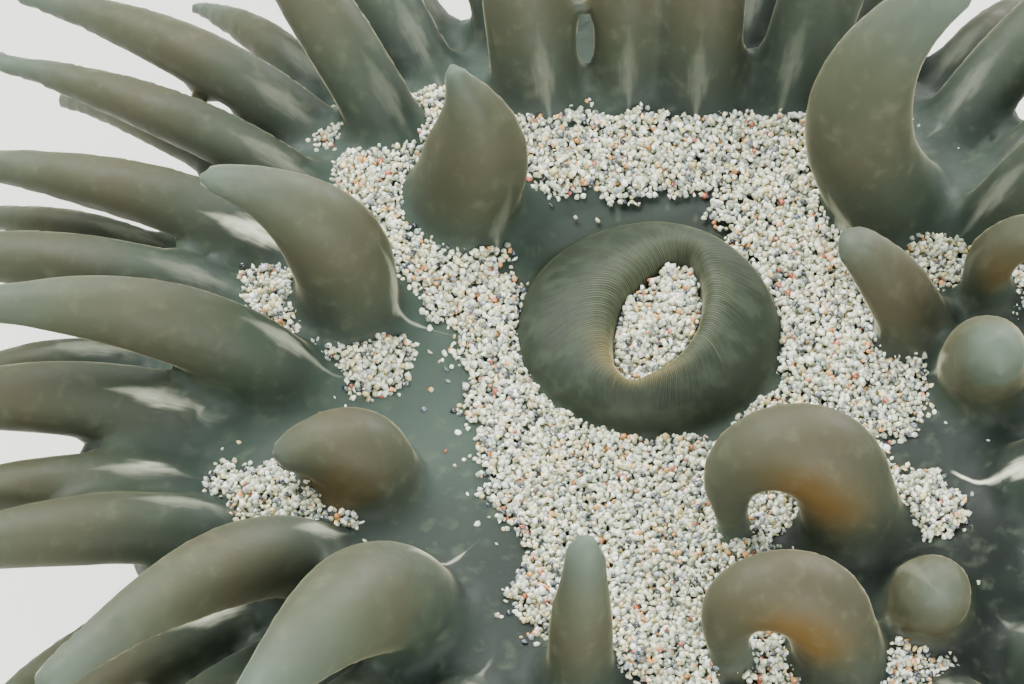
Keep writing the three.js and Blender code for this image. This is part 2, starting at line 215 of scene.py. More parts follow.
@dataclass(frozen=True)
class Body:
    """Sizes of the foot, column, collar and oral disc."""

    outline: tuple[tuple[float, float], ...] = (
        (17.6, 0.0), (17.2, 1.5), (15.4, 4.5), (14.5, 9.5),
        (15.2, 15.5), (17.8, 21.0), (20.1, 24.4),
    )
    collar_radius: float = 20.4
    collar_shoulder: float = 24.2
    collar_top: float = 25.0
    disc_radius: float = 18.7
    disc_shoulder: float = 13.0
    disc_height: float = 27.0
    disc_dish: float = 1.1
    disc_roll: float = 0.06
    sides: int = 180

    def radius(self, height: np.ndarray) -> np.ndarray:
        """The column's radius at a height."""
        curve = catmull_rom(np.array(self.outline), 60)
        return np.interp(height, curve[:, 1], curve[:, 0])

    def disc(self, radius: np.ndarray) -> np.ndarray:
        """The height of the disc's upper face at a distance from its middle.

        Args:
            radius: distances from the disc's middle.

        Returns:
            A height for each.
        """
        radius = np.asarray(radius, float)
        dish = self.disc_dish * (1 - np.minimum(radius / self.disc_shoulder, 1) ** 2)
        roll = self.disc_roll * np.maximum(radius - self.disc_shoulder, 0) ** 2
        return self.disc_height - dish - roll

    def profile(self) -> np.ndarray:
        """The whole outline from the sole to the middle of the disc, as radius and height.

        Returns:
            Rows of radius and height.
        """
        sole = [[0, 0], [8, 0], [15, 0], [self.radius(0) - 0.35, 0], [self.radius(0) - 0.08, 0.22]]
        heights = np.linspace(0.5, 23.0, 50)
        wall = np.stack([self.radius(heights), heights], axis=1)
        rim = [
            [self.collar_radius - 0.25, self.collar_shoulder - 0.5],
            [self.collar_radius, self.collar_shoulder],
            [self.collar_radius - 0.12, self.collar_top - 0.3],
            [self.collar_radius - 0.5, self.collar_top - 0.02],
            [self.collar_radius - 0.95, self.collar_top - 0.08],
            [self.disc_radius + 0.25, self.collar_top - 0.6],
            [self.disc_radius - 0.15, self.collar_top - 0.55],
        ]
        across = np.linspace(self.disc_radius - 0.5, 0, 46)
        return np.vstack([sole, wall, rim, np.stack([across, self.disc(across)], axis=1)])

    def shell(self) -> tuple[Points, Faces]:
        """The closed form of the body without its lip."""
        return revolved(self.profile(), self.sides)


@dataclass(frozen=True)
class Warts:
    """The small clinging warts in rows up the upper column."""

    rows: int = 48
    rings: int = 7
    lowest: float = 10.5
    spacing: float = 1.95
    girth: float = 1.05
    sink: float = 0.24

    def places(self, body: Body) -> tuple[Points, np.ndarray]:
        """Where the warts stand, and how big each is.

        Args:
            body: the body that they grow from.

        Returns:
            Their middles, and a girth for each.
        """
        ring, row = np.meshgrid(np.arange(self.rings), np.arange(self.rows), indexing="ij")
        ring, row = ring.ravel(), row.ravel()
        turn = 2 * math.pi * (row + 0.5 * (ring % 2) + 0.12 * np.sin(row * 2.7 + ring)) / self.rows
        height = self.lowest + self.spacing * ring + 0.25 * np.sin(row * 1.9 + ring * 0.8)
        growth = lerp(0.55, 1.0, ring / (self.rings - 1))
        girth = self.girth * growth * (1 + 0.15 * np.sin(row * 4.1 + ring * 2.3))
        out = body.radius(height) - self.sink
        return np.stack([out * np.cos(turn), out * np.sin(turn), height], axis=1), girth


# ---- Mouth --------------------------------------------------------------------------------------


@dataclass(frozen=True)
class Mouth:
    """The ribbed lip, its slit and the throat, made as one fine patch of skin.

    Places on it are a share and an angle: share 0 is the slit's middle, 1 its edge, 2 the lip's
    outer edge, and more lies on the disc. Every rib bends forward as it runs out, and each has
    its own reach.
    """

    BEYOND: ClassVar[float] = 5.0  # millimetres that one share spans outside the lip
    y: float = 2.3
    slit_x: float = 0.3
    slit_y: float = -0.5
    slit_length: float = 6.2
    slit_width: float = 2.9
    slit_turn: float = -21.0
    slit_pinch: float = 0.22
    lip_radius: float = 4.9
    lip_height: float = 1.9
    patch_radius: float = 6.4
    ribs: int = 216
    rib_steps: int = 3
    rib_depth: float = 0.05
    rib_fan: float = 0.34
    rib_swirl: float = 0.1
    rib_reach: float = 1.68
    rib_variety: float = 0.34
    rib_limit: float = 1.96
    rib_fade: float = 0.6
    rows: int = 42

    def outline(self, body: Body) -> np.ndarray:
        """Rows of share and height: share 1 is the slit's edge, 2 the lip's, more is the disc.

        Args:
            body: the body that the mouth is set in.

        Returns:
            One row for each ring of vertices, from outside in.
        """
        seat = float(body.disc(self.lip_radius))
        crest = seat + self.lip_height
        edge = 2 + (self.patch_radius - self.lip_radius) / self.BEYOND
        knots = [
            (edge, float(body.disc(self.patch_radius))), (2.14, seat + 0.02), (2.03, seat + 0.1),
            (1.97, seat + 0.4), (1.9, seat + 0.8), (1.76, seat + 1.22), (1.56, seat + 1.58),
            (1.36, crest - 0.08), (1.22, crest), (1.12, crest - 0.1), (1.05, crest - 0.38),
            (1.01, crest - 1.1), (0.97, 25.2), (0.96, 23.4), (0.94, 21.6), (0.85, 20.2),
            (0.6, 19.5), (0.3, 19.3),
        ]
        return catmull_rom(np.array(knots), self.rows - 1)

    def place(self, share: np.ndarray, angle: np.ndarray) -> tuple[np.ndarray, np.ndarray]:
        """Where a share and an angle round the mouth lie on the disc.

        Args:
            share: 0 at the slit's middle, 1 at its edge, 2 at the lip's outer edge.
            angle: radians round the mouth.

        Returns:
            The x and y of the places.
        """
        turn = math.radians(self.slit_turn)
        across = self.slit_width / 2 * np.cos(angle - turn)
        along = self.slit_length / 2 * np.sin(angle - turn)
        across = across * (1 - self.slit_pinch * np.sin(angle - turn) ** 2)
        inner = np.minimum(share, 1)
        x1 = (across * math.cos(turn) - along * math.sin(turn)) * inner + self.slit_x
        y1 = (across * math.sin(turn) + along * math.cos(turn)) * inner + self.slit_y
        reach = self.lip_radius + np.maximum(share - 2, 0) * self.BEYOND
        blend = np.clip(share - 1, 0, 1)
        x = lerp(x1, reach * np.cos(angle), blend)
        y = lerp(y1, reach * np.sin(angle), blend)
        return x, y + self.y

    def patch(self, body: Body) -> dict[str, np.ndarray]:
        """The patch's vertices row by row from its outer edge, with their shares and ribs.

        Args:
            body: the body that it is set in.

        Returns:
            points, share, rib and gold, each with one row for each ring of vertices.
        """
        outline = self.outline(body)
        columns = self.ribs * self.rib_steps
        angle = np.linspace(0, 2 * math.pi, columns, endpoint=False)
        share = np.repeat(outline[:, :1], columns, axis=1)
        height = np.repeat(outline[:, 1:], columns, axis=1)
        bend = self.rib_swirl * np.sin(2 * (angle + 0.5)) - self.rib_fan * np.cos(angle)
        bend = bend[None] * smooth(share, 1.0, 1.9) * smooth(share, 2.25, 1.9)
        x, y = self.place(share, angle[None] + bend)
        points = np.stack([x, y, height], axis=2)
        rib = self.rib(share, angle)
        points = points + self.normals(points) * (rib * self.rib_depth)[:, :, None]
        swell = 0.07 * np.sin(angle * 5 + 1.2) + 0.05 * np.sin(angle * 8 + 0.4)
        points[:, :, 2] += swell[None] * smooth(share, 2.0, 1.7) * smooth(share, 0.98, 1.1)
        low = np.cos(angle - math.radians(self.slit_turn - 90))[None]
        gold = smooth(share, 1.5, 1.02) * smooth(low, 0.2, 0.95)
        return {"points": points, "share": share, "rib": rib, "gold": gold}

    def rib(self, share: np.ndarray, angle: np.ndarray) -> np.ndarray:
        """How far the skin stands out in ribs, from 0 between them to 1 on a crest.

        Args:
            share: rows of the share of every vertex.
            angle: the angle of every column.

        Returns:
            A value for each vertex.
        """
        wave = 0.5 + 0.5 * np.cos(angle * self.ribs + 0.5 * np.sin(angle * 7))
        number = np.floor(angle * self.ribs / (2 * math.pi) + 0.5)
        chance = (number * 0.61803) % 1
        reach = self.rib_reach + self.rib_variety * chance + 0.06 * np.sin(angle * 3)
        reach = np.minimum(reach, self.rib_limit)[None]
        strength = smooth(share, reach, reach - self.rib_fade) * smooth(share, 0.9, 1.02)
        return wave[None] * (0.7 + 0.3 * ((number * 0.3819) % 1))[None] * strength

    @staticmethod
    def normals(points: np.ndarray) -> np.ndarray:
        """The outward direction at each place of a grid of rows and columns.

        Args:
            points: the grid, whose columns close into rings.

        Returns:
            A unit vector for each place.
        """
        along = np.gradient(points, axis=0)
        around = np.roll(points, -1, axis=1) - np.roll(points, 1, axis=1)
        normal = np.cross(along, around)
        return -normal / (np.linalg.norm(normal, axis=2, keepdims=True) + 1e-12)


# ---- Tentacles ----------------------------------------------------------------------------------


@dataclass(frozen=True)
class Tentacle:
    """One tentacle: where it grows, its size and how it bends.

    It leaves the disc at the slope `rise` and ends at the slope `fall`, both above the horizon.
    It heads for `course`, which turns by `sway` along the way. An `ease` under 1 bends it mostly
    near the root, and a `snap` of 1 mostly in the middle. `tip` is its tip's share of its girth,
    `mark` the strength of the white tear at its base, and `warmth` how brown it is.
    """

    STEPS: ClassVar[int] = 48  # straight lengths in the middle line
    SWELL_AT: ClassVar[float] = 0.28  # share of the length where the taper starts
    SINK: ClassVar[float] = 3.0  # how far the tube runs on below the root
    name: str
    root: np.ndarray
    course: float
    length: float
    girth: float
    rise: float
    fall: float
    ease: float
    sway: float
    tip: float
    snap: float = 0.0
    mark: float = 1.0
    warmth: float = 0.3

    def frames(self, share: np.ndarray) -> tuple[np.ndarray, np.ndarray, np.ndarray]:
        """The tangent, oral side and left side at shares of the length.

        Args:
            share: shares of the length, from root to tip.

        Returns:
            Three arrays of unit vectors.
        """
        t = np.clip(share, 0, 1)
        bend = lerp(t**self.ease, smooth(t, 0.18, 0.82), self.snap)
        slope = np.radians(lerp(self.rise, self.fall, bend))[:, None]
        course = np.radians(self.course + self.sway * t)
        outward = np.stack([np.cos(course), np.sin(course), 0 * course], axis=1)
        tangent = outward * np.cos(slope) + UP * np.sin(slope)
        oral = -outward * np.sin(slope) + UP * np.cos(slope)
        return tangent, oral, np.cross(tangent, oral)

    def line(self, share: np.ndarray) -> Points:
        """Places on the middle line at shares of the length; below 0 it runs straight on.

        Args:
            share: shares of the length.

        Returns:
            A place for each.
        """
        middles = (np.arange(self.STEPS) + 0.5) / self.STEPS
        steps = self.frames(middles)[0] * self.length / self.STEPS
        points = np.vstack([self.root, self.root + np.cumsum(steps, axis=0)])
        known = np.linspace(0, 1, self.STEPS + 1)
        inside = np.stack([np.interp(share, known, points[:, k]) for k in range(3)], axis=1)
        before = np.minimum(share, 0)[:, None] * self.length
        return inside + self.frames(np.zeros(1))[0] * before

    def radius(self, share: np.ndarray) -> np.ndarray:
        """The radius at a share of the length, with a round tip.

        Args:
            share: shares of the length.

        Returns:
            A radius for each.
        """
        taper = lerp(1.0, self.tip, smooth(share, self.SWELL_AT, 1.05))
        cap = self.girth / 2 * self.tip / self.length
        over = np.clip((share - (1 - cap)) / cap, 0, 1)
        return self.girth / 2 * taper * np.sqrt(np.maximum(1 - over**2, 0.0004))

    def stations(self) -> np.ndarray:
        """Shares of the length at which the tube gets a ring, closer together at the tip.

        Returns:
            The shares, from below the root to the tip.
        """
        cap = self.girth / 2 * self.tip / self.length
        stem = np.linspace(-self.SINK / self.length, 1 - cap, 40)
        return np.concatenate([stem, 1 - cap + cap * np.sin(np.linspace(0, math.pi / 2, 7)[1:])])


class Cycle(enum.Enum):
    """The cycles in which tentacles stand, from the mouth outwards."""

    FIRST = "first"
    SECOND = "second"
    THIRD = "third"
    FOURTH = "fourth"
    FIFTH = "fifth"


@dataclass(frozen=True)
class Crown:
    """All tentacles, from the sizes of their cycles and what single ones do differently.

    A cycle's first tentacle stands at the azimuth `phase`, at `ring` from the disc's middle.
    `poses` holds what one tentacle has instead of its cycle's sizes, its `turn` round the disc
    and its heading, `aim`. `marks` and `warm` hold the white tears and the browner tentacles.
    """

    SHAPE_KEYS: ClassVar[tuple[str, ...]] = (
        "length", "girth", "rise", "fall", "ease", "sway", "tip", "snap",
    )
    cycles: dict[Cycle, dict[str, float]] = field(default_factory=lambda: {
        Cycle.FIRST: dict(
            count=6, phase=174, ring=11.2, length=12.0, girth=4.0, rise=88, fall=20, ease=0.8,
            tip=0.44
        ),
        Cycle.SECOND: dict(
            count=6, phase=144, ring=11.6, length=12.5, girth=3.7, rise=84, fall=14, ease=0.8,
            tip=0.42
        ),
        Cycle.THIRD: dict(
            count=12, phase=159, ring=14.6, length=14.5, girth=3.3, rise=60, fall=0, ease=0.7,
            tip=0.42
        ),
        Cycle.FOURTH: dict(
            count=24, phase=151.5, ring=17.5, length=15.5, girth=2.8, rise=36, fall=-22, ease=0.7,
            tip=0.42
        ),
        Cycle.FIFTH: dict(
            count=24, phase=159, ring=19.6, length=9.5, girth=1.8, rise=24, fall=-34, ease=0.5,
            tip=0.5
        ),
    })
    variety: dict[str, float] = field(default_factory=lambda: dict(length=0.06, fall=7, sway=9))
    poses: dict[str, dict[str, float]] = field(default_factory=lambda: {
        "first_1": dict(
            turn=-9, ring=11.8, length=9.8, girth=3.9, rise=104, fall=-2, ease=1, sway=0, aim=172,
            tip=0.3
        ),
        "first_2": dict(
            turn=-3.5, ring=14.1, length=13.5, girth=4.1, rise=66, fall=-8, ease=1, sway=0,
            aim=240
        ),
        "first_3": dict(
            turn=2.7, ring=14.8, length=11.8, girth=3.3, rise=78, fall=-100, snap=1, sway=0,
            aim=181, tip=0.36
        ),
        "first_4": dict(
            turn=4.2, ring=12.2, length=6.6, girth=3.4, rise=72, fall=44, ease=1, sway=0, aim=272,
            tip=0.6
        ),
        "first_5": dict(
            turn=-13, ring=12.3, length=14, girth=4.2, rise=124, fall=34, ease=1, sway=0, aim=8
        ),
        "first_6": dict(turn=-6.7, ring=14.2, girth=3.4, rise=80),
        "second_1": dict(
            turn=-11.5, ring=10.8, length=8.4, girth=4.2, rise=116, fall=60, ease=1, sway=0,
            aim=178, tip=0.22
        ),
        "second_2": dict(
            turn=2, ring=11.5, length=4.9, girth=3.7, rise=96, fall=-50, ease=1, sway=0, aim=186,
            tip=0.36
        ),
        "second_3": dict(
            turn=-5, ring=14.2, length=7.4, girth=2.5, rise=88, fall=78, ease=1, aim=80, tip=0.55
        ),
        "second_4": dict(
            turn=-7.8, ring=10.2, length=12.6, girth=3.7, rise=78, fall=-95, snap=1, sway=0,
            aim=181, tip=0.3
        ),
        "second_5": dict(
            turn=-12.5, ring=10.2, length=6.6, girth=2.7, rise=74, fall=50, ease=1, aim=178,
            tip=0.6
        ),
        "second_6": dict(turn=-3, ring=13.6, girth=3.0, rise=80, fall=40),
        "third_1": dict(
            turn=-2.1, ring=14.9, length=15, girth=2.5, rise=36, fall=-16, ease=0.4, sway=0,
            aim=162
        ),
        "third_2": dict(
            turn=-7, ring=13.6, length=14.5, girth=3.1, rise=60, fall=-14, sway=0, aim=180,
            tip=0.36
        ),
        "third_3": dict(
            turn=-3.5, ring=15.2, length=15, girth=3.1, rise=64, fall=-6, sway=0, aim=226
        ),
        "third_4": dict(turn=-3, ring=16.6, girth=3.0, rise=34),
        "third_5": dict(ring=16.2, girth=3.0, rise=50),
        "third_6": dict(
            turn=3.9, ring=14.3, length=3.4, girth=3.0, rise=62, fall=50, ease=1, sway=0, aim=280,
            tip=0.88
        ),
        "third_7": dict(ring=14.8, rise=58),
        "third_8": dict(
            turn=5, ring=13.2, length=8.0, girth=2.0, rise=116, fall=-30, ease=1, sway=0, aim=350,
            tip=0.6
        ),
        "third_9": dict(turn=-12, ring=14.8, girth=3.2),
        "third_10": dict(turn=-2),
        "third_11": dict(turn=-6, ring=13.8, girth=2.5, length=10, rise=80, fall=56),
        "third_12": dict(turn=1, ring=15.2, girth=2.8, rise=50),
        "fourth_1": dict(
            turn=-6, ring=16.0, length=14.5, girth=2.2, rise=36, fall=-16, ease=0.4, sway=0,
            aim=152
        ),
        "fourth_2": dict(
            turn=1, ring=16.6, length=14.5, girth=2.6, rise=34, fall=-18, ease=0.4, sway=0,
            aim=168
        ),
        "fourth_3": dict(
            turn=4, ring=17.0, length=14, girth=2.9, rise=36, fall=-18, ease=0.4, sway=0, aim=178
        ),
        "fourth_4": dict(
            turn=-2, ring=17.9, length=13, girth=2.2, rise=30, fall=-18, ease=0.4, sway=0,
            aim=184
        ),
        "fourth_5": dict(
            turn=-8.5, ring=17.6, length=14, girth=2.7, rise=38, fall=-18, ease=0.5, sway=0,
            aim=189
        ),
        "fourth_6": dict(
            turn=-13, ring=18.2, length=13, girth=2.3, rise=32, fall=-20, ease=0.5, sway=0,
            aim=214
        ),
        "fourth_7": dict(
            turn=-18, ring=18.0, length=13, girth=2.5, rise=34, fall=-20, ease=0.5, sway=0,
            aim=222
        ),
        "fourth_8": dict(turn=-22),
        "fourth_9": dict(turn=-12),
        "fourth_10": dict(turn=3),
        "fourth_11": dict(turn=4.5, ring=17.9),
        "fourth_12": dict(turn=2, ring=18.0, girth=2.5),
        "fourth_13": dict(turn=-0.5, ring=17.2),
        "fourth_17": dict(turn=4),
        "fourth_23": dict(turn=-2),
        "fourth_24": dict(
            turn=-1, ring=18.0, length=14.5, girth=2.4, rise=34, fall=-20, ease=0.5, sway=0,
            aim=148
        ),
        "fifth_3": dict(girth=1.5),
        "fifth_4": dict(turn=4),
        "fifth_5": dict(turn=-0.6, girth=1.4),
        "fifth_6": dict(turn=-5),
        "fifth_11": dict(turn=3.5),
    })
    marks: dict[str, float] = field(default_factory=lambda: {
        "first_1": 0.4, "first_2": 0.4, "first_3": 0.0, "first_4": 0.45, "first_5": 0.45,
        "second_2": 0.0, "second_5": 0.45, "third_1": 1.0, "third_2": 0.35, "third_3": 0.4,
        "third_6": 0.12, "third_7": 1.0, "third_8": 0.1, "fourth_2": 0.12, "fourth_3": 1.0,
        "fourth_4": 0.9, "fourth_6": 0.8, "fourth_7": 0.6, "fourth_13": 0.8, "fourth_14": 0.9,
        "fourth_15": 0.9, "fourth_16": 0.8,
    })
    warm: dict[str, float] = field(default_factory=lambda: {
        "first_3": 0.5, "second_2": 0.4, "second_4": 0.4, "second_5": 0.6, "third_6": 0.4,
    })

    def tentacles(self, body: Body) -> list[Tentacle]:
        """Every tentacle of the crown, set on a body.

        Args:
            body: the body that they grow from.

        Returns:
            The tentacles, cycle by cycle.
        """
        grown = []
        for cycle, sizes in self.cycles.items():
            for number in range(1, int(sizes["count"]) + 1):
                label = f"{cycle.value}_{number}"
                own = dict(sizes)
                own["turn"] = 0.0
                stretch = 1 + self.variety["length"] * math.sin(number * 1.9)
                own["length"] = sizes["length"] * stretch
                own["fall"] = sizes["fall"] + self.variety["fall"] * math.sin(number * 2.6)
                own["sway"] = self.variety["sway"] * math.sin(number * 4.1)
                own.update(self.poses.get(label, {}))
                azimuth = sizes["phase"] + (number - 1) * 360 / sizes["count"] + own["turn"]
                turn, ring = math.radians(azimuth), own["ring"]
                seat = float(body.disc(ring))
                root = np.array([ring * math.cos(turn), ring * math.sin(turn), seat])
                bend = {key: float(own[key]) for key in self.SHAPE_KEYS if key in own}
                plain = 0.22 - 0.12 * float(smooth(math.sin(turn), 0.3, 0.7))
                bend["mark"] = self.marks.get(label, plain)
                usual = 0.13 + 0.1 * math.sin(number * 2.4)
                bend["warmth"] = self.warm.get(label, usual)
                name = f"tentacle_{cycle.value}_{number:02d}"
                course = float(own.get("aim", azimuth))
                grown.append(Tentacle(name=name, root=root, course=course, **bend))
        return grown


# ---- Node trees ---------------------------------------------------------------------------------


class Graph:
    """A node tree being built, with short ways to add nodes and join them."""

    def __init__(self, tree: bpy.types.NodeTree) -> None:
        """Takes the tree that nodes are added to."""
        self.tree = tree

    def add(
        self, kind: str, inputs: dict[str | int, Feed] | None = None, **settings: object
    ) -> bpy.types.Node:
        """Adds a node.

        Args:
            kind: the node's type.
            inputs: what its input sockets get, by name or number.
            settings: its properties.

        Returns:
            The new node.
        """
        node = self.tree.nodes.new(kind)
        for name, value in settings.items():
            setattr(node, name, value)
        for key, value in (inputs or {}).items():
            self.feed(node.inputs[key], value)
        return node

    def feed(self, socket: bpy.types.NodeSocket, value: Feed) -> None:
        """Gives a socket a value, or joins it to another node's output.

        Args:
            socket: the input.
            value: what it takes.
        """
        if isinstance(value, bpy.types.Node):
            value = value.outputs[0]
        if isinstance(value, bpy.types.NodeSocket):
            self.tree.links.new(value, socket)
        else:
            socket.default_value = value

    def maths(self, operation: str, *values: Feed) -> bpy.types.NodeSocket:
        """The result of a Math node on numbers or sockets.

        Args:
            operation: the node's operation.
            values: its inputs, in order.

        Returns:
            Its output.
        """
        node = self.add("ShaderNodeMath", operation=operation)
        for number, value in enumerate(values):
            self.feed(node.inputs[number], value)
        return node.outputs[0]

    def span(
        self, value: Feed, low: float, high: float, out_low: float = 0.0, out_high: float = 1.0
    ) -> bpy.types.NodeSocket:
        """A value carried smoothly from one range to another; low may be the greater.

        Args:
            value: the value.
            low: where the first range starts.
            high: where it ends.
            out_low: what low becomes.
            out_high: what high becomes.

        Returns:
            The output.
        """
        flip = low > high
        ends = {"From Min": min(low, high), "From Max": max(low, high)}
        outs = (out_high, out_low) if flip else (out_low, out_high)
        ends.update({"Value": value, "To Min": outs[0], "To Max": outs[1]})
        return self.add("ShaderNodeMapRange", ends, interpolation_type="SMOOTHSTEP").outputs[0]

    def mix(self, share: Feed, first: Feed, second: Feed) -> bpy.types.NodeSocket:
        """Two colours mixed by a share.

        Args:
            share: how much of the second colour there is.
            first: a colour in six figures, or an output.
            second: the same.

        Returns:
            The mixed colour.
        """
        node = self.add("ShaderNodeMix", data_type="RGBA")
        self.feed(node.inputs[0], share)
        for number, colour in ((6, first), (7, second)):
            self.feed(node.inputs[number], linear(colour) if isinstance(colour, str) else colour)
        return node.outputs[2]

    def ramp(
        self, value: Feed, stops: dict[float, str], constant: bool = False
    ) -> bpy.types.NodeSocket:
        """A colour read from stops at places between 0 and 1.

        Args:
            value: the place.
            stops: colours by their places.
            constant: whether a colour holds until the next stop.

        Returns:
            The colour.
        """
        node = self.add("ShaderNodeValToRGB", {0: value})
        node.color_ramp.interpolation = "CONSTANT" if constant else "LINEAR"
        elements = node.color_ramp.elements
        while len(elements) < len(stops):
            elements.new(0.5)
        for element, (place, colour) in zip(elements, sorted(stops.items())):
            element.position, element.color = place, linear(colour)
        return node.outputs[0]


class ShapeTree(Graph):
    """A Geometry Nodes tree with named inputs that ends in real geometry with a material."""

    def __init__(self, name: str, **sockets: str) -> None:
        """Starts a tree.

        Args:
            name: the tree's name.
            sockets: the kind of each named input, such as Float or Int.
        """
        super().__init__(bpy.data.node_groups.new(name, "GeometryNodeTree"))
        face = self.tree.interface
        face.new_socket("Geometry", in_out="INPUT", socket_type="NodeSocketGeometry")
        for label, kind in {**sockets, "Material": "Material"}.items():
            face.new_socket(label, in_out="INPUT", socket_type=f"NodeSocket{kind}")
        face.new_socket("Geometry", in_out="OUTPUT", socket_type="NodeSocketGeometry")
        self.given = self.add("NodeGroupInput").outputs

    def named(self, name: str, kind: str = "FLOAT") -> bpy.types.NodeSocket:
        """An attribute of the geometry, read by its name."""
        node = self.add("GeometryNodeInputNamedAttribute", {"Name": name}, data_type=kind)
        return node.outputs[0]

    def chance(
        self, low: Feed, high: Feed, seed: Feed, offset: int = 0, kind: str = "FLOAT"
    ) -> bpy.types.NodeSocket:
        """A random value of each point between two limits.

        Args:
            low: the lower limit.
            high: the upper limit.
            seed: the socket with the tree's seed.
            offset: what is added to it, so that draws differ.
            kind: FLOAT or FLOAT_VECTOR.

        Returns:
            The value's socket.
        """
        node = self.add("FunctionNodeRandomValue", data_type=kind)
        first, result = (0, 0) if kind == "FLOAT_VECTOR" else (2, 1)
        self.feed(node.inputs[first], low)
        self.feed(node.inputs[first + 1], high)
        self.feed(node.inputs["Seed"], self.maths("ADD", seed, float(offset)))
        return node.outputs[result]

    def finish(self, geometry: Feed) -> "ShapeTree":
        """Ends the tree in Realize Instances and Set Material.

        Args:
            geometry: what the tree has made.

        Returns:
            The tree itself.
        """
        real = self.add("GeometryNodeRealizeInstances", {"Geometry": geometry})
        parts = {"Geometry": real, "Material": self.given["Material"]}
        painted = self.add("GeometryNodeSetMaterial", parts)
        self.add("NodeGroupOutput", {0: painted})
        return self

    def run(self, body: bpy.types.Object, **values: object) -> bpy.types.Mesh:
        """Runs the tree on an object and uses the object up.

        Args:
            body: what the tree starts from.
            values: the named inputs.

        Returns:
            The result as a plain mesh.
        """
        modifier = body.modifiers.new(self.tree.name, "NODES")
        modifier.node_group = self.tree
        for item in self.tree.interface.items_tree:
            if item.in_out == "INPUT" and item.name in values:
                modifier[item.identifier] = values[item.name]
        return evaluated_mesh(body)


def tube_tree() -> ShapeTree:
    """A tree that turns lines with a radius attribute into round closed tubes.

    Returns:
        The tree, whose input is Sides.
    """
    tree = ShapeTree("tubes", Sides="Int")
    line = tree.add("GeometryNodeMeshToCurve", {"Mesh": tree.given["Geometry"]})
    size = {"Resolution": tree.given["Sides"], "Radius": 1.0}
    ring = tree.add("GeometryNodeCurvePrimitiveCircle", size)
    parts = {"Curve": line, "Profile Curve": ring, "Scale": tree.named("radius"), "Fill Caps": True}
    return tree.finish(tree.add("GeometryNodeCurveToMesh", parts))


def wart_tree() -> ShapeTree:
    """A tree that sets a small dome on each point, as wide as its girth attribute.

    Returns:
        The tree, which has no sizes of its own.
    """
    tree = ShapeTree("warts")
    places = tree.add("GeometryNodeMeshToPoints", {"Mesh": tree.given["Geometry"]})
    dome = tree.add("GeometryNodeMeshIcoSphere", {"Radius": 0.5, "Subdivisions": 3})
    parts = {"Points": places, "Instance": dome, "Scale": tree.named("girth")}
    return tree.finish(tree.add("GeometryNodeInstanceOnPoints", parts))


def sand_tree() -> ShapeTree:
    """A tree that heaps angular grains on a bed, as thickly as its cover attribute says.

    Returns:
        The tree, whose inputs are Density, Size, Depth and Seed.
    """
    tree = ShapeTree("sand", Density="Float", Size="Float", Depth="Float", Seed="Int")
    seed, size = tree.given["Seed"], tree.given["Size"]
    spread = {
        "Mesh": tree.given["Geometry"], "Seed": seed,
        "Density": tree.maths("MULTIPLY", tree.given["Density"], tree.named("cover")),
    }
    points = tree.add("GeometryNodeDistributePointsOnFaces", spread, distribute_method="RANDOM")
    sunk = tree.maths("MULTIPLY", tree.chance(-1.0, 0.25, seed, 1), tree.given["Depth"])
    drop = tree.add("ShaderNodeCombineXYZ", {2: tree.maths("MULTIPLY", sunk, tree.named("cover"))})
    placed = tree.add("GeometryNodeSetPosition", {"Geometry": points, "Offset": drop})
    lump = tree.add("GeometryNodeMeshIcoSphere", {"Radius": 0.5, "Subdivisions": 1})
    turn = tree.chance((0.0, 0.0, 0.0), (6.28, 6.28, 6.28), seed, 2, "FLOAT_VECTOR")
    shape = tree.chance((0.72, 0.72, 0.6), (1.25, 1.25, 1.1), seed, 3, "FLOAT_VECTOR")
    girth = tree.maths("MULTIPLY", size, tree.chance(0.68, 1.36, seed, 4))
    scaled = tree.add("ShaderNodeVectorMath", {0: shape}, operation="SCALE")
    tree.feed(scaled.inputs["Scale"], girth)
    rotation = tree.add("FunctionNodeEulerToRotation", {"Euler": turn})
    parts = {"Points": placed, "Instance": lump, "Rotation": rotation, "Scale": scaled}
    grains = tree.add("GeometryNodeInstanceOnPoints", parts)
    for name, kind, value in (
        ("grain", "FLOAT", tree.chance(0.0, 1.0, seed, 5)),
        ("root", "FLOAT_VECTOR", tree.add("GeometryNodeInputPosition").outputs[0]),
    ):
        note = {"Geometry": grains, "Name": name}
        store = "GeometryNodeStoreNamedAttribute"
        grains = tree.add(store, note, data_type=kind, domain="INSTANCE")
        tree.feed(grains.inputs["Value"], value)
    real = tree.add("GeometryNodeRealizeInstances", {"Geometry": grains})
    noise = tree.add("ShaderNodeTexNoise", {"Scale": 5.5, "Detail": 0.0})
    centred = {0: noise.outputs["Color"], 1: (0.5, 0.5, 0.5)}
    middle = tree.add("ShaderNodeVectorMath", centred, operation="SUBTRACT")
    push = tree.add("ShaderNodeVectorMath", {0: middle}, operation="SCALE")
    tree.feed(push.inputs["Scale"], tree.maths("MULTIPLY", size, 0.7))
    return tree.finish(tree.add("GeometryNodeSetPosition", {"Geometry": real, "Offset": push}))


# ---- Finishes -----------------------------------------------------------------------------------


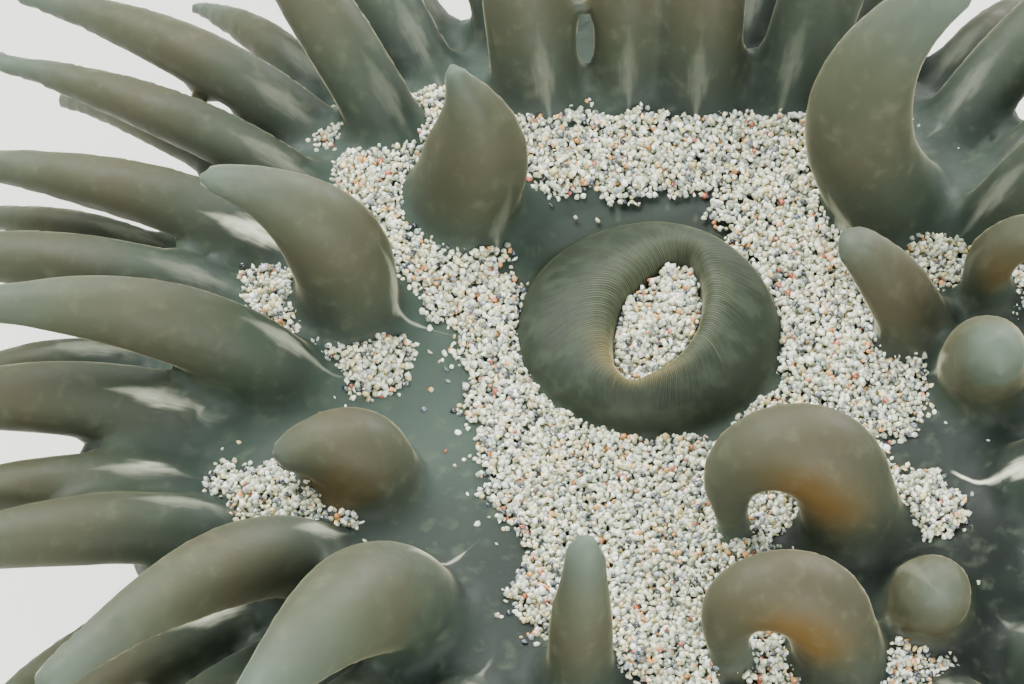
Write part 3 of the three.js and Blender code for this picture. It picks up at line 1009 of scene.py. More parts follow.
@dataclass(frozen=True)
class FleshFinish:
    """Soft wet skin: olive tentacles, a dark disc, a golden ribbed mouth and a tan column."""

    tentacle: dict[float, str] = field(default_factory=lambda: {
        0.0: "#2e3731", 0.2: "#343e31", 0.42: "#404131", 0.62: "#434837", 0.82: "#485145",
        1.0: "#4f5b51",
    })
    disc_dark: str = "#19221d"
    disc_light: str = "#2f3b32"
    # Painted light: the paler green that the disc takes towards the left.
    disc_painted_light: str = "#3b4a41"
    # Painted shade: the near-black that the disc takes towards the front.
    disc_painted_shade: str = "#080c09"
    lip: str = "#283024"
    rib: str = "#5c5f45"
    gold: str = "#9d8644"
    throat: str = "#8a7a45"
    lip_gold: str = "#6f6238"
    lip_cloud: str = "#4c5544"
    mark: str = "#dcdfc6"
    warm: str = "#453a25"
    amber: str = "#5f481f"
    bloom: str = "#787b64"
    fleck: str = "#626d59"
    sheen: str = "#d6cfa8"
    column: dict[float, str] = field(default_factory=lambda: {
        0.0: "#867654", 0.3: "#766948", 0.62: "#5d583a", 0.86: "#43462d", 1.0: "#363c2b",
    })
    wart: str = "#85836a"
    column_height: float = 25.0
    cloud_scale: float = 220.0
    grain_scale: float = 1500.0
    grain_depth: float = 0.06
    roughness: float = 0.58
    specular: float = 0.22
    scatter: float = 0.3
    scatter_depth: float = 0.9
    sheen_weight: float = 0.55
    sheen_roughness: float = 0.18

    def material(self) -> bpy.types.Material:
        """The skin's material, which reads the attributes that the skin stores.

        Returns:
            The new material.
        """
        made = bpy.data.materials.new("flesh")
        made.use_nodes = True
        graph = Graph(made.node_tree)
        shader = made.node_tree.nodes["Principled BSDF"]
        place = graph.add("ShaderNodeTexCoord").outputs["Object"]
        soft = self.noise(graph, place, self.cloud_scale)
        fine = self.noise(graph, place, self.grain_scale)
        disc = self.disc_colour(graph, place, soft, fine)
        colour = graph.mix(self.read(graph, "ring"), self.column_colour(graph, place, soft), disc)
        stems = self.tentacle_colour(graph, soft, fine)
        colour = graph.mix(self.read(graph, "tentacle"), colour, stems)
        colour = graph.mix(self.read(graph, "lip"), colour, self.mouth_colour(graph, fine))
        colour = graph.mix(self.mark_share(graph), colour, self.mark)
        graph.feed(shader.inputs["Base Color"], colour)
        rough = graph.span(fine, 0.3, 0.7, self.roughness - 0.07, self.roughness + 0.08)
        graph.feed(shader.inputs["Roughness"], rough)
        shader.inputs["Subsurface Weight"].default_value = self.scatter
        shader.inputs["Subsurface Radius"].default_value = (1.0, 0.85, 0.5)
        shader.inputs["Subsurface Scale"].default_value = self.scatter_depth * MM
        shader.inputs["Specular IOR Level"].default_value = self.specular
        shader.inputs["Sheen Weight"].default_value = self.sheen_weight
        shader.inputs["Sheen Roughness"].default_value = self.sheen_roughness
        shader.inputs["Sheen Tint"].default_value = linear(self.sheen)
        relief = graph.maths("ADD", graph.maths("MULTIPLY", fine, 0.5), soft)
        grain = {"Strength": 0.35, "Distance": self.grain_depth * MM, "Height": relief}
        graph.feed(shader.inputs["Normal"], graph.add("ShaderNodeBump", grain))
        return made

    @staticmethod
    def read(graph: Graph, name: str) -> bpy.types.NodeSocket:
        """A number that the skin stores at its vertices."""
        return graph.add("ShaderNodeAttribute", attribute_name=name).outputs["Fac"]

    @staticmethod
    def noise(
        graph: Graph, place: Feed, scale: float, detail: float = 3.0
    ) -> bpy.types.NodeSocket:
        """Cloudy noise between 0 and 1."""
        inputs = {"Vector": place, "Scale": scale, "Detail": detail}
        return graph.add("ShaderNodeTexNoise", inputs).outputs["Fac"]

    def tentacle_colour(self, graph: Graph, soft: Feed, fine: Feed) -> bpy.types.NodeSocket:
        """Olive at the root, brown along the middle and grey-green at the tip.

        Args:
            graph: the material's node tree.
            soft: wide clouds of noise.
            fine: small clouds of noise.

        Returns:
            The colour.
        """
        uneven = graph.span(soft, 0.25, 0.75, -0.07, 0.07)
        reach = graph.maths("ADD", self.read(graph, "reach"), uneven)
        colour = graph.ramp(reach, self.tentacle)
        above = graph.span(reach, 0.02, 0.3, 0.25, 0.7)
        warm = graph.maths("MULTIPLY", self.read(graph, "tint"), above)
        warm = graph.maths("MULTIPLY", warm, graph.span(reach, 1.0, 0.75, 0.2, 1.0))
        colour = graph.mix(warm, colour, self.warm)
        amber = graph.maths("MULTIPLY", self.read(graph, "amber"), 0.85)
        colour = graph.mix(amber, colour, self.amber)
        return graph.mix(graph.span(fine, 0.5, 0.8, 0, 0.16), colour, self.bloom)

    def disc_colour(
        self, graph: Graph, place: Feed, soft: Feed, fine: Feed
    ) -> bpy.types.NodeSocket:
        """Dark sea green, with painted light on the left, painted shade at the front and flecks
        along fine lines out from the mouth.

        Args:
            graph: the material's node tree.
            place: the place on the skin.
            soft: wide clouds of noise.
            fine: small clouds of noise.

        Returns:
            The colour.
        """
        cloud = graph.span(soft, 0.35, 0.7)
        colour = graph.mix(cloud, self.disc_dark, self.disc_light)
        parts = graph.add("ShaderNodeSeparateXYZ", {0: place}).outputs
        # Painted light: the disc turns paler towards the left.
        left = graph.span(parts[0], 2 * MM, -9 * MM, 0.0, 0.7)
        # Painted shade: the disc darkens to near black towards the front.
        low = graph.span(parts[1], -2 * MM, -9 * MM, 0.0, 0.6)
        colour = graph.mix(low, graph.mix(left, colour, self.disc_painted_light), self.disc_painted_shade)
        fleck = graph.maths("MULTIPLY", graph.span(fine, 0.5, 0.7, 0, 0.3), self.read(graph, "ray"))
        return graph.mix(fleck, colour, self.fleck)

    def mouth_colour(self, graph: Graph, fine: Feed) -> bpy.types.NodeSocket:
        """Dark between the ribs, gold near the slit and ochre down the throat.

        Args:
            graph: the material's node tree.
            fine: small clouds of noise.

        Returns:
            The colour.
        """
        gold = self.read(graph, "gold")
        rib = graph.mix(gold, self.rib, self.gold)
        base = graph.mix(graph.maths("MULTIPLY", gold, 0.3), self.lip, self.lip_gold)
        base = graph.mix(graph.span(fine, 0.4, 0.7, 0, 0.3), base, self.lip_cloud)
        line = graph.span(self.read(graph, "rib"), 0.42, 0.95)
        faint = graph.span(self.read(graph, "inner"), 0.0, 0.8, 0.55, 0.95)
        colour = graph.mix(graph.maths("MULTIPLY", line, faint), base, rib)
        return graph.mix(self.read(graph, "throat"), colour, self.throat)

    def column_colour(self, graph: Graph, place: Feed, soft: Feed) -> bpy.types.NodeSocket:
        """Tan at the foot and olive at the top, with pale warts.

        Args:
            graph: the material's node tree.
            place: the place on the skin.
            soft: wide clouds of noise.

        Returns:
            The colour.
        """
        height = graph.add("ShaderNodeSeparateXYZ", {0: place}).outputs[2]
        share = graph.maths("DIVIDE", height, self.column_height * MM)
        share = graph.maths("ADD", share, graph.span(soft, 0.25, 0.75, -0.08, 0.08))
        colour = graph.ramp(share, self.column)
        wart = graph.span(self.read(graph, "wart"), 0.2, 0.9, 0, 0.75)
        return graph.mix(wart, colour, self.wart)

    def mark_share(self, graph: Graph) -> bpy.types.NodeSocket:
        """How pale the skin is from the white tear that points from a tentacle to the mouth.

        Args:
            graph: the material's node tree.

        Returns:
            A share from 0 to 1.
        """
        along, across = self.read(graph, "mark_along"), self.read(graph, "mark_across")
        drawn_out = {0: along, 1: graph.maths("MULTIPLY", across, 4.5)}
        streak = graph.add("ShaderNodeCombineXYZ", drawn_out)
        ragged = graph.span(self.noise(graph, streak, 1.0, 1.0), 0.3, 0.7, -0.2, 0.2)
        width = graph.span(along, -0.2, 1.6, 0.1, 0.62)
        width = graph.maths("MULTIPLY", width, graph.span(along, -2.6, -1.2))
        width = graph.maths("MULTIPLY", width, graph.span(along, 3.8, 1.2))
        edge = graph.maths("MULTIPLY_ADD", ragged, width, graph.maths("ABSOLUTE", across))
        edge = graph.maths("DIVIDE", edge, graph.maths("MAXIMUM", width, 0.01))
        share = graph.span(edge, 1.35, 0.05)
        share = graph.maths("POWER", share, 1.7)
        share = graph.maths("MULTIPLY", share, graph.span(along, 3.6, 1.2, 0.0, 0.95))
        return graph.maths("MULTIPLY", share, self.read(graph, "mark_near"))


@dataclass(frozen=True)
class SandFinish:
    """Glassy quartz grains, mostly clear and cream, with a few rust, tan and slate ones."""

    grains: dict[float, str] = field(default_factory=lambda: {
        0.0: "#f2f7e0", 0.11: "#cfd8bd", 0.22: "#fdffee", 0.34: "#e6edd4", 0.45: "#b0baa6",
        0.53: "#fcf5cc", 0.63: "#dfdab2", 0.72: "#ffffff", 0.77: "#f4dc98", 0.83: "#95a1a1",
        0.88: "#e8a050", 0.908: "#c8603a", 0.918: "#232a38", 0.966: "#5a6670",
    })
    frost: str = "#f6f7ea"
    pit_scale: float = 5200.0
    pit_depth: float = 0.02
    refraction: float = 1.54
    wet_coat: float = 0.6

    def material(self) -> bpy.types.Material:
        """The grains' material, which reads the number that each grain drew.

        Returns:
            The new material.
        """
        made = bpy.data.materials.new("sand")
        made.use_nodes = True
        graph = Graph(made.node_tree)
        shader = made.node_tree.nodes["Principled BSDF"]
        number = graph.add("ShaderNodeAttribute", attribute_name="grain").outputs["Fac"]
        place = graph.add("ShaderNodeTexCoord").outputs["Object"]
        texture = {"Vector": place, "Scale": self.pit_scale, "Detail": 2.0}
        cloud = graph.add("ShaderNodeTexNoise", texture).outputs["Fac"]
        colour = graph.ramp(number, self.grains, constant=True)
        colour = graph.mix(graph.span(cloud, 0.4, 0.75, 0, 0.25), colour, self.frost)
        graph.feed(shader.inputs["Base Color"], colour)
        graph.feed(shader.inputs["Roughness"], graph.span(cloud, 0.3, 0.7, 0.08, 0.3))
        clear = graph.span(self.wave(graph, number), 0.1, 0.8, 0.0, 0.5)
        graph.feed(shader.inputs["Transmission Weight"], clear)
        shader.inputs["IOR"].default_value = self.refraction
        shader.inputs["Coat Weight"].default_value = self.wet_coat
        shader.inputs["Coat Roughness"].default_value = 0.04
        pits = {"Strength": 0.3, "Distance": self.pit_depth * MM, "Height": cloud}
        graph.feed(shader.inputs["Normal"], graph.add("ShaderNodeBump", pits))
        return made

    @staticmethod
    def wave(graph: Graph, number: Feed) -> bpy.types.NodeSocket:
        """A second number between 0 and 1 for each grain, drawn from its first."""
        return graph.maths("FRACT", graph.maths("MULTIPLY", number, 37.0))


@dataclass(frozen=True)
class FloorFinish:
    """A plain pale floor."""

    colour: str = "#d9d8d3"
    roughness: float = 0.8

    def material(self) -> bpy.types.Material:
        """The floor's material.

        Returns:
            The new material.
        """
        made = bpy.data.materials.new("floor")
        made.use_nodes = True
        shader = made.node_tree.nodes["Principled BSDF"]
        shader.inputs["Base Color"].default_value = linear(self.colour)
        shader.inputs["Roughness"].default_value = self.roughness
        return made


# ---- Skin ---------------------------------------------------------------------------------------


@dataclass
class Skin:
    """The one skin of the whole animal, from sole to tentacle tips."""

    body: Body
    mouth: Mouth
    warts: Warts
    tentacles: list[Tentacle]
    finish: FleshFinish = field(default_factory=FleshFinish)
    voxel: float = 0.46
    tube_sides: int = 22
    smoothing: int = 5
    hole_margin: float = 0.35
    hole_heights: tuple[float, float] = (20.0, 27.6)
    rim_gap: float = 0.5
    rim_wave: float = 0.3
    throat_heights: tuple[float, float] = (26.4, 24.6)
    wart_heights: tuple[float, float] = (8.0, 24.5)
    mark_limits: tuple[float, float] = (19.4, 18.6)
    tentacle_reach: float = 4.5
    rays: int = 96

    def build(self, nodes: list[str]) -> bpy.types.Object:
        """Makes the finished skin.

        Args:
            nodes: the frame's nodes that it stands for.

        Returns:
            The piece.
        """
        points, faces = self.opened(self.grown())
        points, faces, patch = self.with_mouth(points, faces)
        skin = mesh_object("anemone_skin", points, faces)
        skin.data.shade_smooth()
        skin.data.materials.append(self.finish.material())
        for name, values in self.notes(points, patch).items():
            set_numbers(skin.data, name, values)
        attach(skin, "root")
        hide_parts(*nodes)
        return skin

    def grown(self) -> bpy.types.Mesh:
        """Body, warts and tentacles grown together into one even mesh, in millimetres.

        Returns:
            The mesh.
        """
        parts = [self.body.shell(), arrays_of(self.tubes()), arrays_of(self.domes())]
        start = np.cumsum([0] + [len(points) for points, _ in parts])
        points = np.vstack([points for points, _ in parts])
        faces = [
            tuple(v + first for v in face)
            for (_, group), first in zip(parts, start)
            for face in group
        ]
        form = mesh_object("form", points, faces, scale=1)
        remesh = form.modifiers.new("even", "REMESH")
        remesh.mode, remesh.voxel_size, remesh.adaptivity = "VOXEL", self.voxel, 0
        calm = form.modifiers.new("calm", "SMOOTH")
        calm.factor, calm.iterations = 0.5, self.smoothing
        return evaluated_mesh(form)

    def tubes(self) -> bpy.types.Mesh:
        """All tentacles as round tubes, in millimetres.

        Returns:
            Their joint mesh.
        """
        rows, edges, radii = [], [], []
        for tentacle in self.tentacles:
            shares = tentacle.stations()
            start = sum(len(row) for row in rows)
            edges += [(start + i, start + i + 1) for i in range(len(shares) - 1)]
            rows.append(tentacle.line(shares))
            radii.append(tentacle.radius(shares))
        mesh = bpy.data.meshes.new("lines")
        mesh.from_pydata(np.vstack(rows).tolist(), edges, [])
        set_numbers(mesh, "radius", np.concatenate(radii))
        lines = bpy.data.objects.new("lines", mesh)
        bpy.context.scene.collection.objects.link(lines)
        return tube_tree().run(lines, Sides=self.tube_sides)

    def domes(self) -> bpy.types.Mesh:
        """All warts as small balls that stand half out of the column, in millimetres.

        Returns:
            Their joint mesh.
        """
        places, girth = self.warts.places(self.body)
        spots = mesh_object("spots", places, [], scale=1)
        set_numbers(spots.data, "girth", girth)
        return wart_tree().run(spots)

    def opened(self, mesh: bpy.types.Mesh) -> tuple[Points, Faces]:
        """The grown mesh with a round hole where the mouth goes.

        Args:
            mesh: the grown mesh.

        Returns:
            Its vertices and faces outside the hole.
        """
        points, faces = arrays_of(mesh)
        far = np.hypot(points[:, 0], points[:, 1] - self.mouth.y)
        low, high = self.hole_heights
        inside = (points[:, 2] > low) & (points[:, 2] < high)
        inside &= far < self.mouth.patch_radius + self.hole_margin
        kept = [face for face in faces if not any(inside[v] for v in face)]
        used = np.zeros(len(points), bool)
        used[[v for face in kept for v in face]] = True
        number = np.cumsum(used) - 1
        return points[used], [tuple(int(number[v]) for v in face) for face in kept]

    def with_mouth(
        self, points: Points, faces: Faces
    ) -> tuple[Points, Faces, dict[str, np.ndarray]]:
        """Sets the mouth's patch into the hole and stitches the two edges together.

        Args:
            points: the opened skin's vertices.
            faces: its faces.

        Returns:
            All vertices, all faces and the patch's own values.
        """
        patch = self.mouth.patch(self.body)
        rows, columns = patch["share"].shape
        start = len(points)
        rim = self.rim_of(points, faces)
        centre = np.array([0, self.mouth.y])
        offset = points[rim, :2] - centre
        radius = np.hypot(*offset.T)
        target = self.mouth.patch_radius + self.rim_gap
        target = target + (radius - radius.mean()) * self.rim_wave
        points[rim, :2] = centre + offset * (target / radius)[:, None]
        points[rim, 2] = self.body.disc(np.hypot(*points[rim, :2].T))
        grid = start + np.arange(rows * columns).reshape(rows, columns)
        near, far = grid[:-1], grid[1:]
        quads = np.stack([near, np.roll(near, -1, 1), np.roll(far, -1, 1), far], axis=2)
        faces = faces + [tuple(int(v) for v in quad) for quad in quads.reshape(-1, 4)]
        faces += self.stitched(points[rim], rim, patch["points"][0], grid[0])
        bottom = start + rows * columns
        last = [int(v) for v in grid[-1]]
        faces += [(last[i], last[(i + 1) % columns], bottom) for i in range(columns)]
        floor = patch["points"][-1].mean(axis=0) - [0, 0, 0.02]
        return np.vstack([points, patch["points"].reshape(-1, 3), floor]), faces, patch

    @staticmethod
    def rim_of(points: Points, faces: Faces) -> list[int]:
        """The vertices round the hole, in order, anticlockwise seen from above.

        Args:
            points: the opened skin's vertices.
            faces: its faces.

        Returns:
            Their numbers.
        """
        seen = dict.fromkeys(
            (a, b) for face in faces for a, b in zip(face, face[1:] + face[:1])
        )
        following = {b: a for (a, b) in seen if (b, a) not in seen}
        first = next(iter(following))
        loop = [first]
        while following[loop[-1]] != first:
            loop.append(following[loop[-1]])
        flat = points[loop]
        nxt = np.roll(flat, -1, axis=0)
        area = np.sum(flat[:, 0] * nxt[:, 1] - nxt[:, 0] * flat[:, 1])
        return loop if area > 0 else loop[::-1]

    def stitched(
        self, outer: Points, outer_ids: list[int], inner: Points, inner_ids: np.ndarray
    ) -> Faces:
        """Triangles between two rings that both run anticlockwise.

        Args:
            outer: places of the outer ring.
            outer_ids: its vertex numbers.
            inner: places of the inner ring.
            inner_ids: its vertex numbers.

        Returns:
            The triangles.
        """
        def angles(ring: Points) -> np.ndarray:
            """Angles round the mouth, never falling along the ring."""
            turn = np.unwrap(np.arctan2(ring[:, 1] - self.mouth.y, ring[:, 0]))
            return np.maximum.accumulate(turn)

        begin = int(np.argmin(np.abs((np.arctan2(outer[:, 1] - self.mouth.y, outer[:, 0])))))
        outer, outer_ids = np.roll(outer, -begin, axis=0), list(np.roll(outer_ids, -begin))
        a_out, a_in = angles(outer), angles(inner)
        a_out = np.append(a_out, a_out[0] + 2 * math.pi)
        a_in = np.append(a_in, a_in[0] + 2 * math.pi)
        faces: Faces = []
        i = j = 0
        while i < len(outer_ids) or j < len(inner_ids):
            o, n = int(outer_ids[i % len(outer_ids)]), int(inner_ids[j % len(inner_ids)])
            step_out = j >= len(inner_ids) or (i < len(outer_ids) and a_out[i + 1] < a_in[j + 1])
            if step_out:
                faces.append((o, int(outer_ids[(i + 1) % len(outer_ids)]), n))
                i += 1
            else:
                faces.append((o, int(inner_ids[(j + 1) % len(inner_ids)]), n))
                j += 1
        return faces

    def notes(self, points: Points, patch: dict[str, np.ndarray]) -> dict[str, np.ndarray]:
        """What the finish reads at each vertex.

        Args:
            points: the skin's vertices.
            patch: the mouth's own values.

        Returns:
            Numbers for each vertex, by name.
        """
        count = patch["share"].size
        first = len(points) - count - 1
        x, y, z = points.T
        notes = self.tentacle_notes(points)
        top = smooth(z, self.body.collar_shoulder - 1.2, self.body.collar_top - 0.4)
        notes["ring"] = top
        across = np.hypot(x, y) - notes["tentacle"] * 9
        notes["mark_near"] *= top * smooth(across, *self.mark_limits)
        notes["ray"] = 0.5 + 0.5 * np.cos(np.arctan2(y - self.mouth.y, x) * self.rays)
        notes["wart"] = self.wart_notes(points)
        for name in ("lip", "inner", "rib", "gold", "throat"):
            notes[name] = np.zeros(len(points))
        share, rows = patch["share"].ravel(), slice(first, first + count)
        height = points[rows, 2]
        notes["lip"][rows] = smooth(share, 2.2, 1.9)
        notes["inner"][rows] = smooth(share, 1.75, 1.0)
        notes["rib"][rows] = patch["rib"].ravel()
        notes["gold"][rows] = patch["gold"].ravel()
        notes["throat"][rows] = smooth(height, *self.throat_heights) * (share < 1.3)
        notes["lip"][-1] = notes["throat"][-1] = 1
        for name in ("tentacle", "mark_near"):
            notes[name][rows] *= smooth(share, 2.05, 2.25)
        return notes

    def wart_notes(self, points: Points) -> np.ndarray:
        """How far each vertex lies on a wart, from 0 to 1.

        Args:
            points: the skin's vertices.

        Returns:
            A number for each vertex.
        """
        notes = np.zeros(len(points))
        height = points[:, 2]
        low, high = self.wart_heights
        column = np.where((height > low) & (height < high))[0]
        for place, size in zip(*self.warts.places(self.body)):
            near = column[np.abs(height[column] - place[2]) < size]
            far = np.linalg.norm(points[near] - place, axis=1)
            notes[near] = np.maximum(notes[near], smooth(far, size * 0.62, size * 0.42))
        return notes

    def tentacle_notes(self, points: Points) -> dict[str, np.ndarray]:
        """How each vertex lies to its nearest tentacle.

        Args:
            points: the skin's vertices.

        Returns:
            The numbers that tentacles and their marks need.
        """
        count = len(points)
        best, second = np.full(count, FAR), np.full(count, FAR)
        names = ("tentacle", "reach", "tint", "amber", "mark_near")
        notes = {name: np.zeros(count) for name in names}
        notes["mark_along"] = np.full(count, 9.0)
        notes["mark_across"] = np.full(count, 9.0)
        shares = np.linspace(0, 1, 61)
        for number, tentacle in enumerate(self.tentacles):
            line, radius = tentacle.line(shares), tentacle.radius(shares)
            low = line.min(axis=0) - self.tentacle_reach
            high = line.max(axis=0) + self.tentacle_reach
            near = np.where(np.all((points > low) & (points < high), axis=1))[0]
            far = np.linalg.norm(points[near][:, None] - line[None], axis=2)
            gap = far - radius[None] * 0.98
            at = np.argmin(gap, axis=1)
            gap = gap[np.arange(len(near)), at]
            won = gap < best[near]
            second[near] = np.where(won, best[near], np.minimum(second[near], gap))
            near, at, gap = near[won], at[won], gap[won]
            best[near] = gap
            own = self.mark_notes(tentacle, points[near], shares[at], line[at], radius[at])
            held = smooth(gap, 0.75, 0.0) * smooth(own["along_stem"], -0.2, 0.5)
            notes["tentacle"][near] = held
            notes["reach"][near] = shares[at]
            notes["tint"][near] = tentacle.warmth
            bent = float(smooth(tentacle.rise - tentacle.fall, 110, 190))
            inside = own["under"] * smooth(np.abs(shares[at] - 0.36), 0.24, 0.06)
            notes["amber"][near] = bent * inside
            notes["mark_along"][near] = lerp(own["along_disc"], own["along_stem"], held)
            notes["mark_across"][near] = lerp(own["across_disc"], own["across_stem"], held)
            facing = smooth(np.abs(own["across_stem"]), 1.9, 1.2) * smooth(gap, 1.2, 0.4)
            ahead = smooth(own["along_disc"], 0.9, 0.2) * smooth(own["along_disc"], -3.6, -3.0)
            notes["mark_near"][near] = lerp(ahead, facing, held) * tentacle.mark
        notes["mark_near"] *= smooth(second - best, 0.9, 1.7)
        return notes

    @staticmethod
    def mark_notes(
        tentacle: Tentacle, points: Points, share: np.ndarray, middle: Points, radius: np.ndarray
    ) -> dict[str, np.ndarray]:
        """Places relative to a tentacle's white tear, on the tentacle and on the disc before it.

        Args:
            tentacle: the tentacle.
            points: places on the skin.
            share: the share of its length nearest to each.
            middle: the middle line there.
            radius: its radius there.

        Returns:
            Distances along and across the tear.
        """
        toward = -tentacle.root * [1, 1, 0]
        toward /= np.linalg.norm(toward)
        side_way = np.cross(UP, toward)
        tangent, oral, side = tentacle.frames(share)
        start, oral0, side0 = (row[0] for row in tentacle.frames(np.zeros(1)))
        twist = -0.55 * float(side0[1] * smooth(tentacle.mark, 0.45, 0.6))
        face = math.atan2(float(toward @ side0), float(toward @ oral0)) + twist
        offset = points - middle
        around = np.arctan2(np.sum(offset * side, axis=1), np.sum(offset * oral, axis=1))
        turn = (around - face + math.pi) % (2 * math.pi) - math.pi
        flat = points - tentacle.root
        edge = tentacle.girth / 2
        along_disc = (edge - flat @ toward) * (2 - tentacle.mark)
        return {
            "along_stem": share * tentacle.length,
            "across_stem": turn * radius,
            "under": smooth(np.cos(around), 0.95, -0.35),
            "along_disc": along_disc,
            "across_disc": flat @ side_way - twist * edge * smooth(along_disc, -3.0, 0.0),
        }


# ---- Sand ---------------------------------------------------------------------------------------


@dataclass(frozen=True)
class Drift:
    """A streak of sand on the disc, from one place to another."""

    start: tuple[float, float]
    end: tuple[float, float]
    width: float

    def cover(self, x: np.ndarray, y: np.ndarray, ragged: np.ndarray) -> np.ndarray:
        """How thickly the streak covers places, from 0 to 1.

        Args:
            x: places along X.
            y: places along Y.
            ragged: how far its edge is pushed out at each.

        Returns:
            A share for each place.
        """
        a, b = np.array(self.start), np.array(self.end)
        along = b - a
        share = np.clip(((x - a[0]) * along[0] + (y - a[1]) * along[1]) / (along @ along), 0, 1)
        far = np.hypot(x - a[0] - share * along[0], y - a[1] - share * along[1])
        return smooth(self.width / 2 - far + ragged * 0.55, -0.3, 0.35)


@dataclass
class Sand:
    """The sand that lies on the disc and fills the mouth."""

    body: Body
    mouth: Mouth
    finish: SandFinish = field(default_factory=SandFinish)
    drifts: tuple[Drift, ...] = (
        Drift((-10, 9.1), (-5.5, 2.1), 3.3),
        Drift((-5.5, 2.1), (-3.6, -5), 3.6),
        Drift((-3.6, -3.6), (2.4, -5.4), 4.8),
        Drift((-3.3, -5), (1.85, -6.9), 5.0),
        Drift((4.6, -2.0), (7.4, -3.2), 2.2),
        Drift((-2, -10), (3.5, -13), 6.0),
        Drift((-1.5, -8), (2.5, -10), 5.5),
        Drift((-3.5, 10.5), (6.5, 10.5), 3.5),
        Drift((5.4, 8), (7.9, -0.4), 5.2),
        Drift((-15.5, 4.7), (-10.3, 0.5), 2.9),
        Drift((-15.5, -5.6), (-11.5, -6.6), 2.4),
        Drift((3.5, -5.4), (6, -6.6), 2.2),
        Drift((7.8, -5.4), (10, -6.5), 2.4),
        Drift((-14, 13.5), (-8, 12), 3.0),
        Drift((10.5, 5), (13, 3.5), 2.5),
        Drift((3, -13), (9, -14), 3.0),
    )
    grid: float = 0.35
    depth: float = 0.5
    grain: float = 0.215
    density: float = 94.0
    stray: float = 0.004
    strips: tuple[float, ...] = (-6.0, -2.6, 0.0, 2.4, 6.5)
    mouth_level: float = 27.3
    mouth_cover: float = 1.15
    bake_patch: float = 0.003
    seed: int = 11

    def build(self) -> list[bpy.types.Object]:
        """Makes the finished sand pieces.

        Returns:
            The pieces, from left to right and then the mouth.
        """
        material = self.finish.material()
        tree = sand_tree()
        pieces = []
        beds = {**self.disc_beds(), "sand_mouth": self.mouth_bed()}
        for number, (name, bed) in enumerate(beds.items()):
            mesh = tree.run(
                bed, Density=self.density, Size=self.grain, Depth=self.depth * 0.8,
                Seed=self.seed + number * 10, Material=material,
            )
            pieces.append(self.finished(name, mesh))
        return pieces

    def disc_beds(self) -> dict[str, bpy.types.Object]:
        """Beds for strips of the disc from left to right, each with a cover attribute.

        Returns:
            The beds by the names of their pieces.
        """
        reach = self.body.disc_radius - 0.6
        count = int(2 * reach / self.grid)
        line = np.linspace(-reach, reach, count)
        x, y = (values.ravel() for values in np.meshgrid(line, line))
        ragged = ripple(x, y, 2.6) + 0.7 * ripple(y, x, 1.1)
        cover = np.zeros(len(x))
        for drift in self.drifts:
            cover = np.maximum(cover, drift.cover(x, y, ragged))
        far = np.hypot(x, y - self.mouth.y)
        cover *= smooth(far, self.mouth.lip_radius - 0.1, self.mouth.lip_radius + 0.25)
        heap = self.depth * cover * (0.75 + 0.25 * ripple(x, y, 3.4))
        height = self.body.disc(np.hypot(x, y)) + heap
        points = np.stack([x, y, height], axis=1)
        amount = np.maximum(cover, self.stray * (far > self.mouth.lip_radius))
        cells = np.arange(count * count).reshape(count, count)
        corners = [cells[:-1, :-1], cells[:-1, 1:], cells[1:, 1:], cells[1:, :-1]]
        quads = np.stack(corners, axis=2).reshape(-1, 4)
        within = (np.hypot(x, y)[quads] < reach).all(axis=1)
        quads = quads[within & (amount[quads].max(axis=1) > 0)]
        strip = np.searchsorted(self.strips, x[quads].mean(axis=1))
        beds = {}
        for number in range(len(self.strips) + 1):
            faces = [tuple(map(int, quad)) for quad in quads[strip == number]]
            bed = mesh_object(f"bed_{number}", points, faces, scale=1)
            set_numbers(bed.data, "cover", amount)
            beds[f"sand_disc_{number + 1}"] = bed
        return beds

    def mouth_bed(self) -> bpy.types.Object:
        """A bed that fills the slit just below the lip's crest.

        Returns:
            The bed.
        """
        angle = np.linspace(0, 2 * math.pi, 48, endpoint=False)
        rings = np.linspace(0.02, 0.97, 9)
        share, turn = np.meshgrid(rings, angle, indexing="ij")
        x, y = self.mouth.place(share.ravel(), turn.ravel())
        height = self.mouth_level + 0.25 * ripple(x, y, 2.2) - 0.3 * (share.ravel() - 0.4)
        grid = np.arange(len(x)).reshape(share.shape)
        near, far = grid[:-1], grid[1:]
        quads = np.stack([near, far, np.roll(far, -1, 1), np.roll(near, -1, 1)], axis=2)
        faces = [tuple(map(int, quad)) for quad in quads.reshape(-1, 4)]
        points = np.stack([x, y, height], axis=1)
        bed = mesh_object("sand_mouth_bed", points, faces, scale=1)
        set_numbers(bed.data, "cover", np.full(len(x), self.mouth_cover))
        return bed

    def finished(self, name: str, mesh: bpy.types.Mesh) -> bpy.types.Object:
        """Turns a heap of grains into a piece with its bake map.

        Args:
            name: the piece's name.
            mesh: the grains, in millimetres.

        Returns:
            The piece.
        """
        roots = np.empty(len(mesh.vertices) * 3, np.float32)
        mesh.attributes["root"].data.foreach_get("vector", roots)
        roots = roots.reshape(-1, 3)
        places = np.empty(len(mesh.vertices) * 3, np.float32)
        mesh.vertices.foreach_get("co", places)
        local = (places.reshape(-1, 3) - roots)[:, :2] / (self.grain * 2)
        span = 2 * self.body.disc_radius + 0.5
        uv = 0.5 + roots[:, :2] / span + np.clip(local, -0.5, 0.5) * self.bake_patch
        corner = np.empty(len(mesh.loops), np.int32)
        mesh.loops.foreach_get("vertex_index", corner)
        bake = mesh.uv_layers.new(name="OFBake")
        bake.data.foreach_set("uv", uv[corner].ravel())
        mesh.transform(Matrix.Scale(MM, 4))
        mesh.shade_smooth()
        mesh.name = name
        piece = bpy.data.objects.new(name, mesh)
        bpy.context.scene.collection.objects.link(piece)
        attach(piece, "root")
        return piece


# ---- Studio -------------------------------------------------------------------------------------


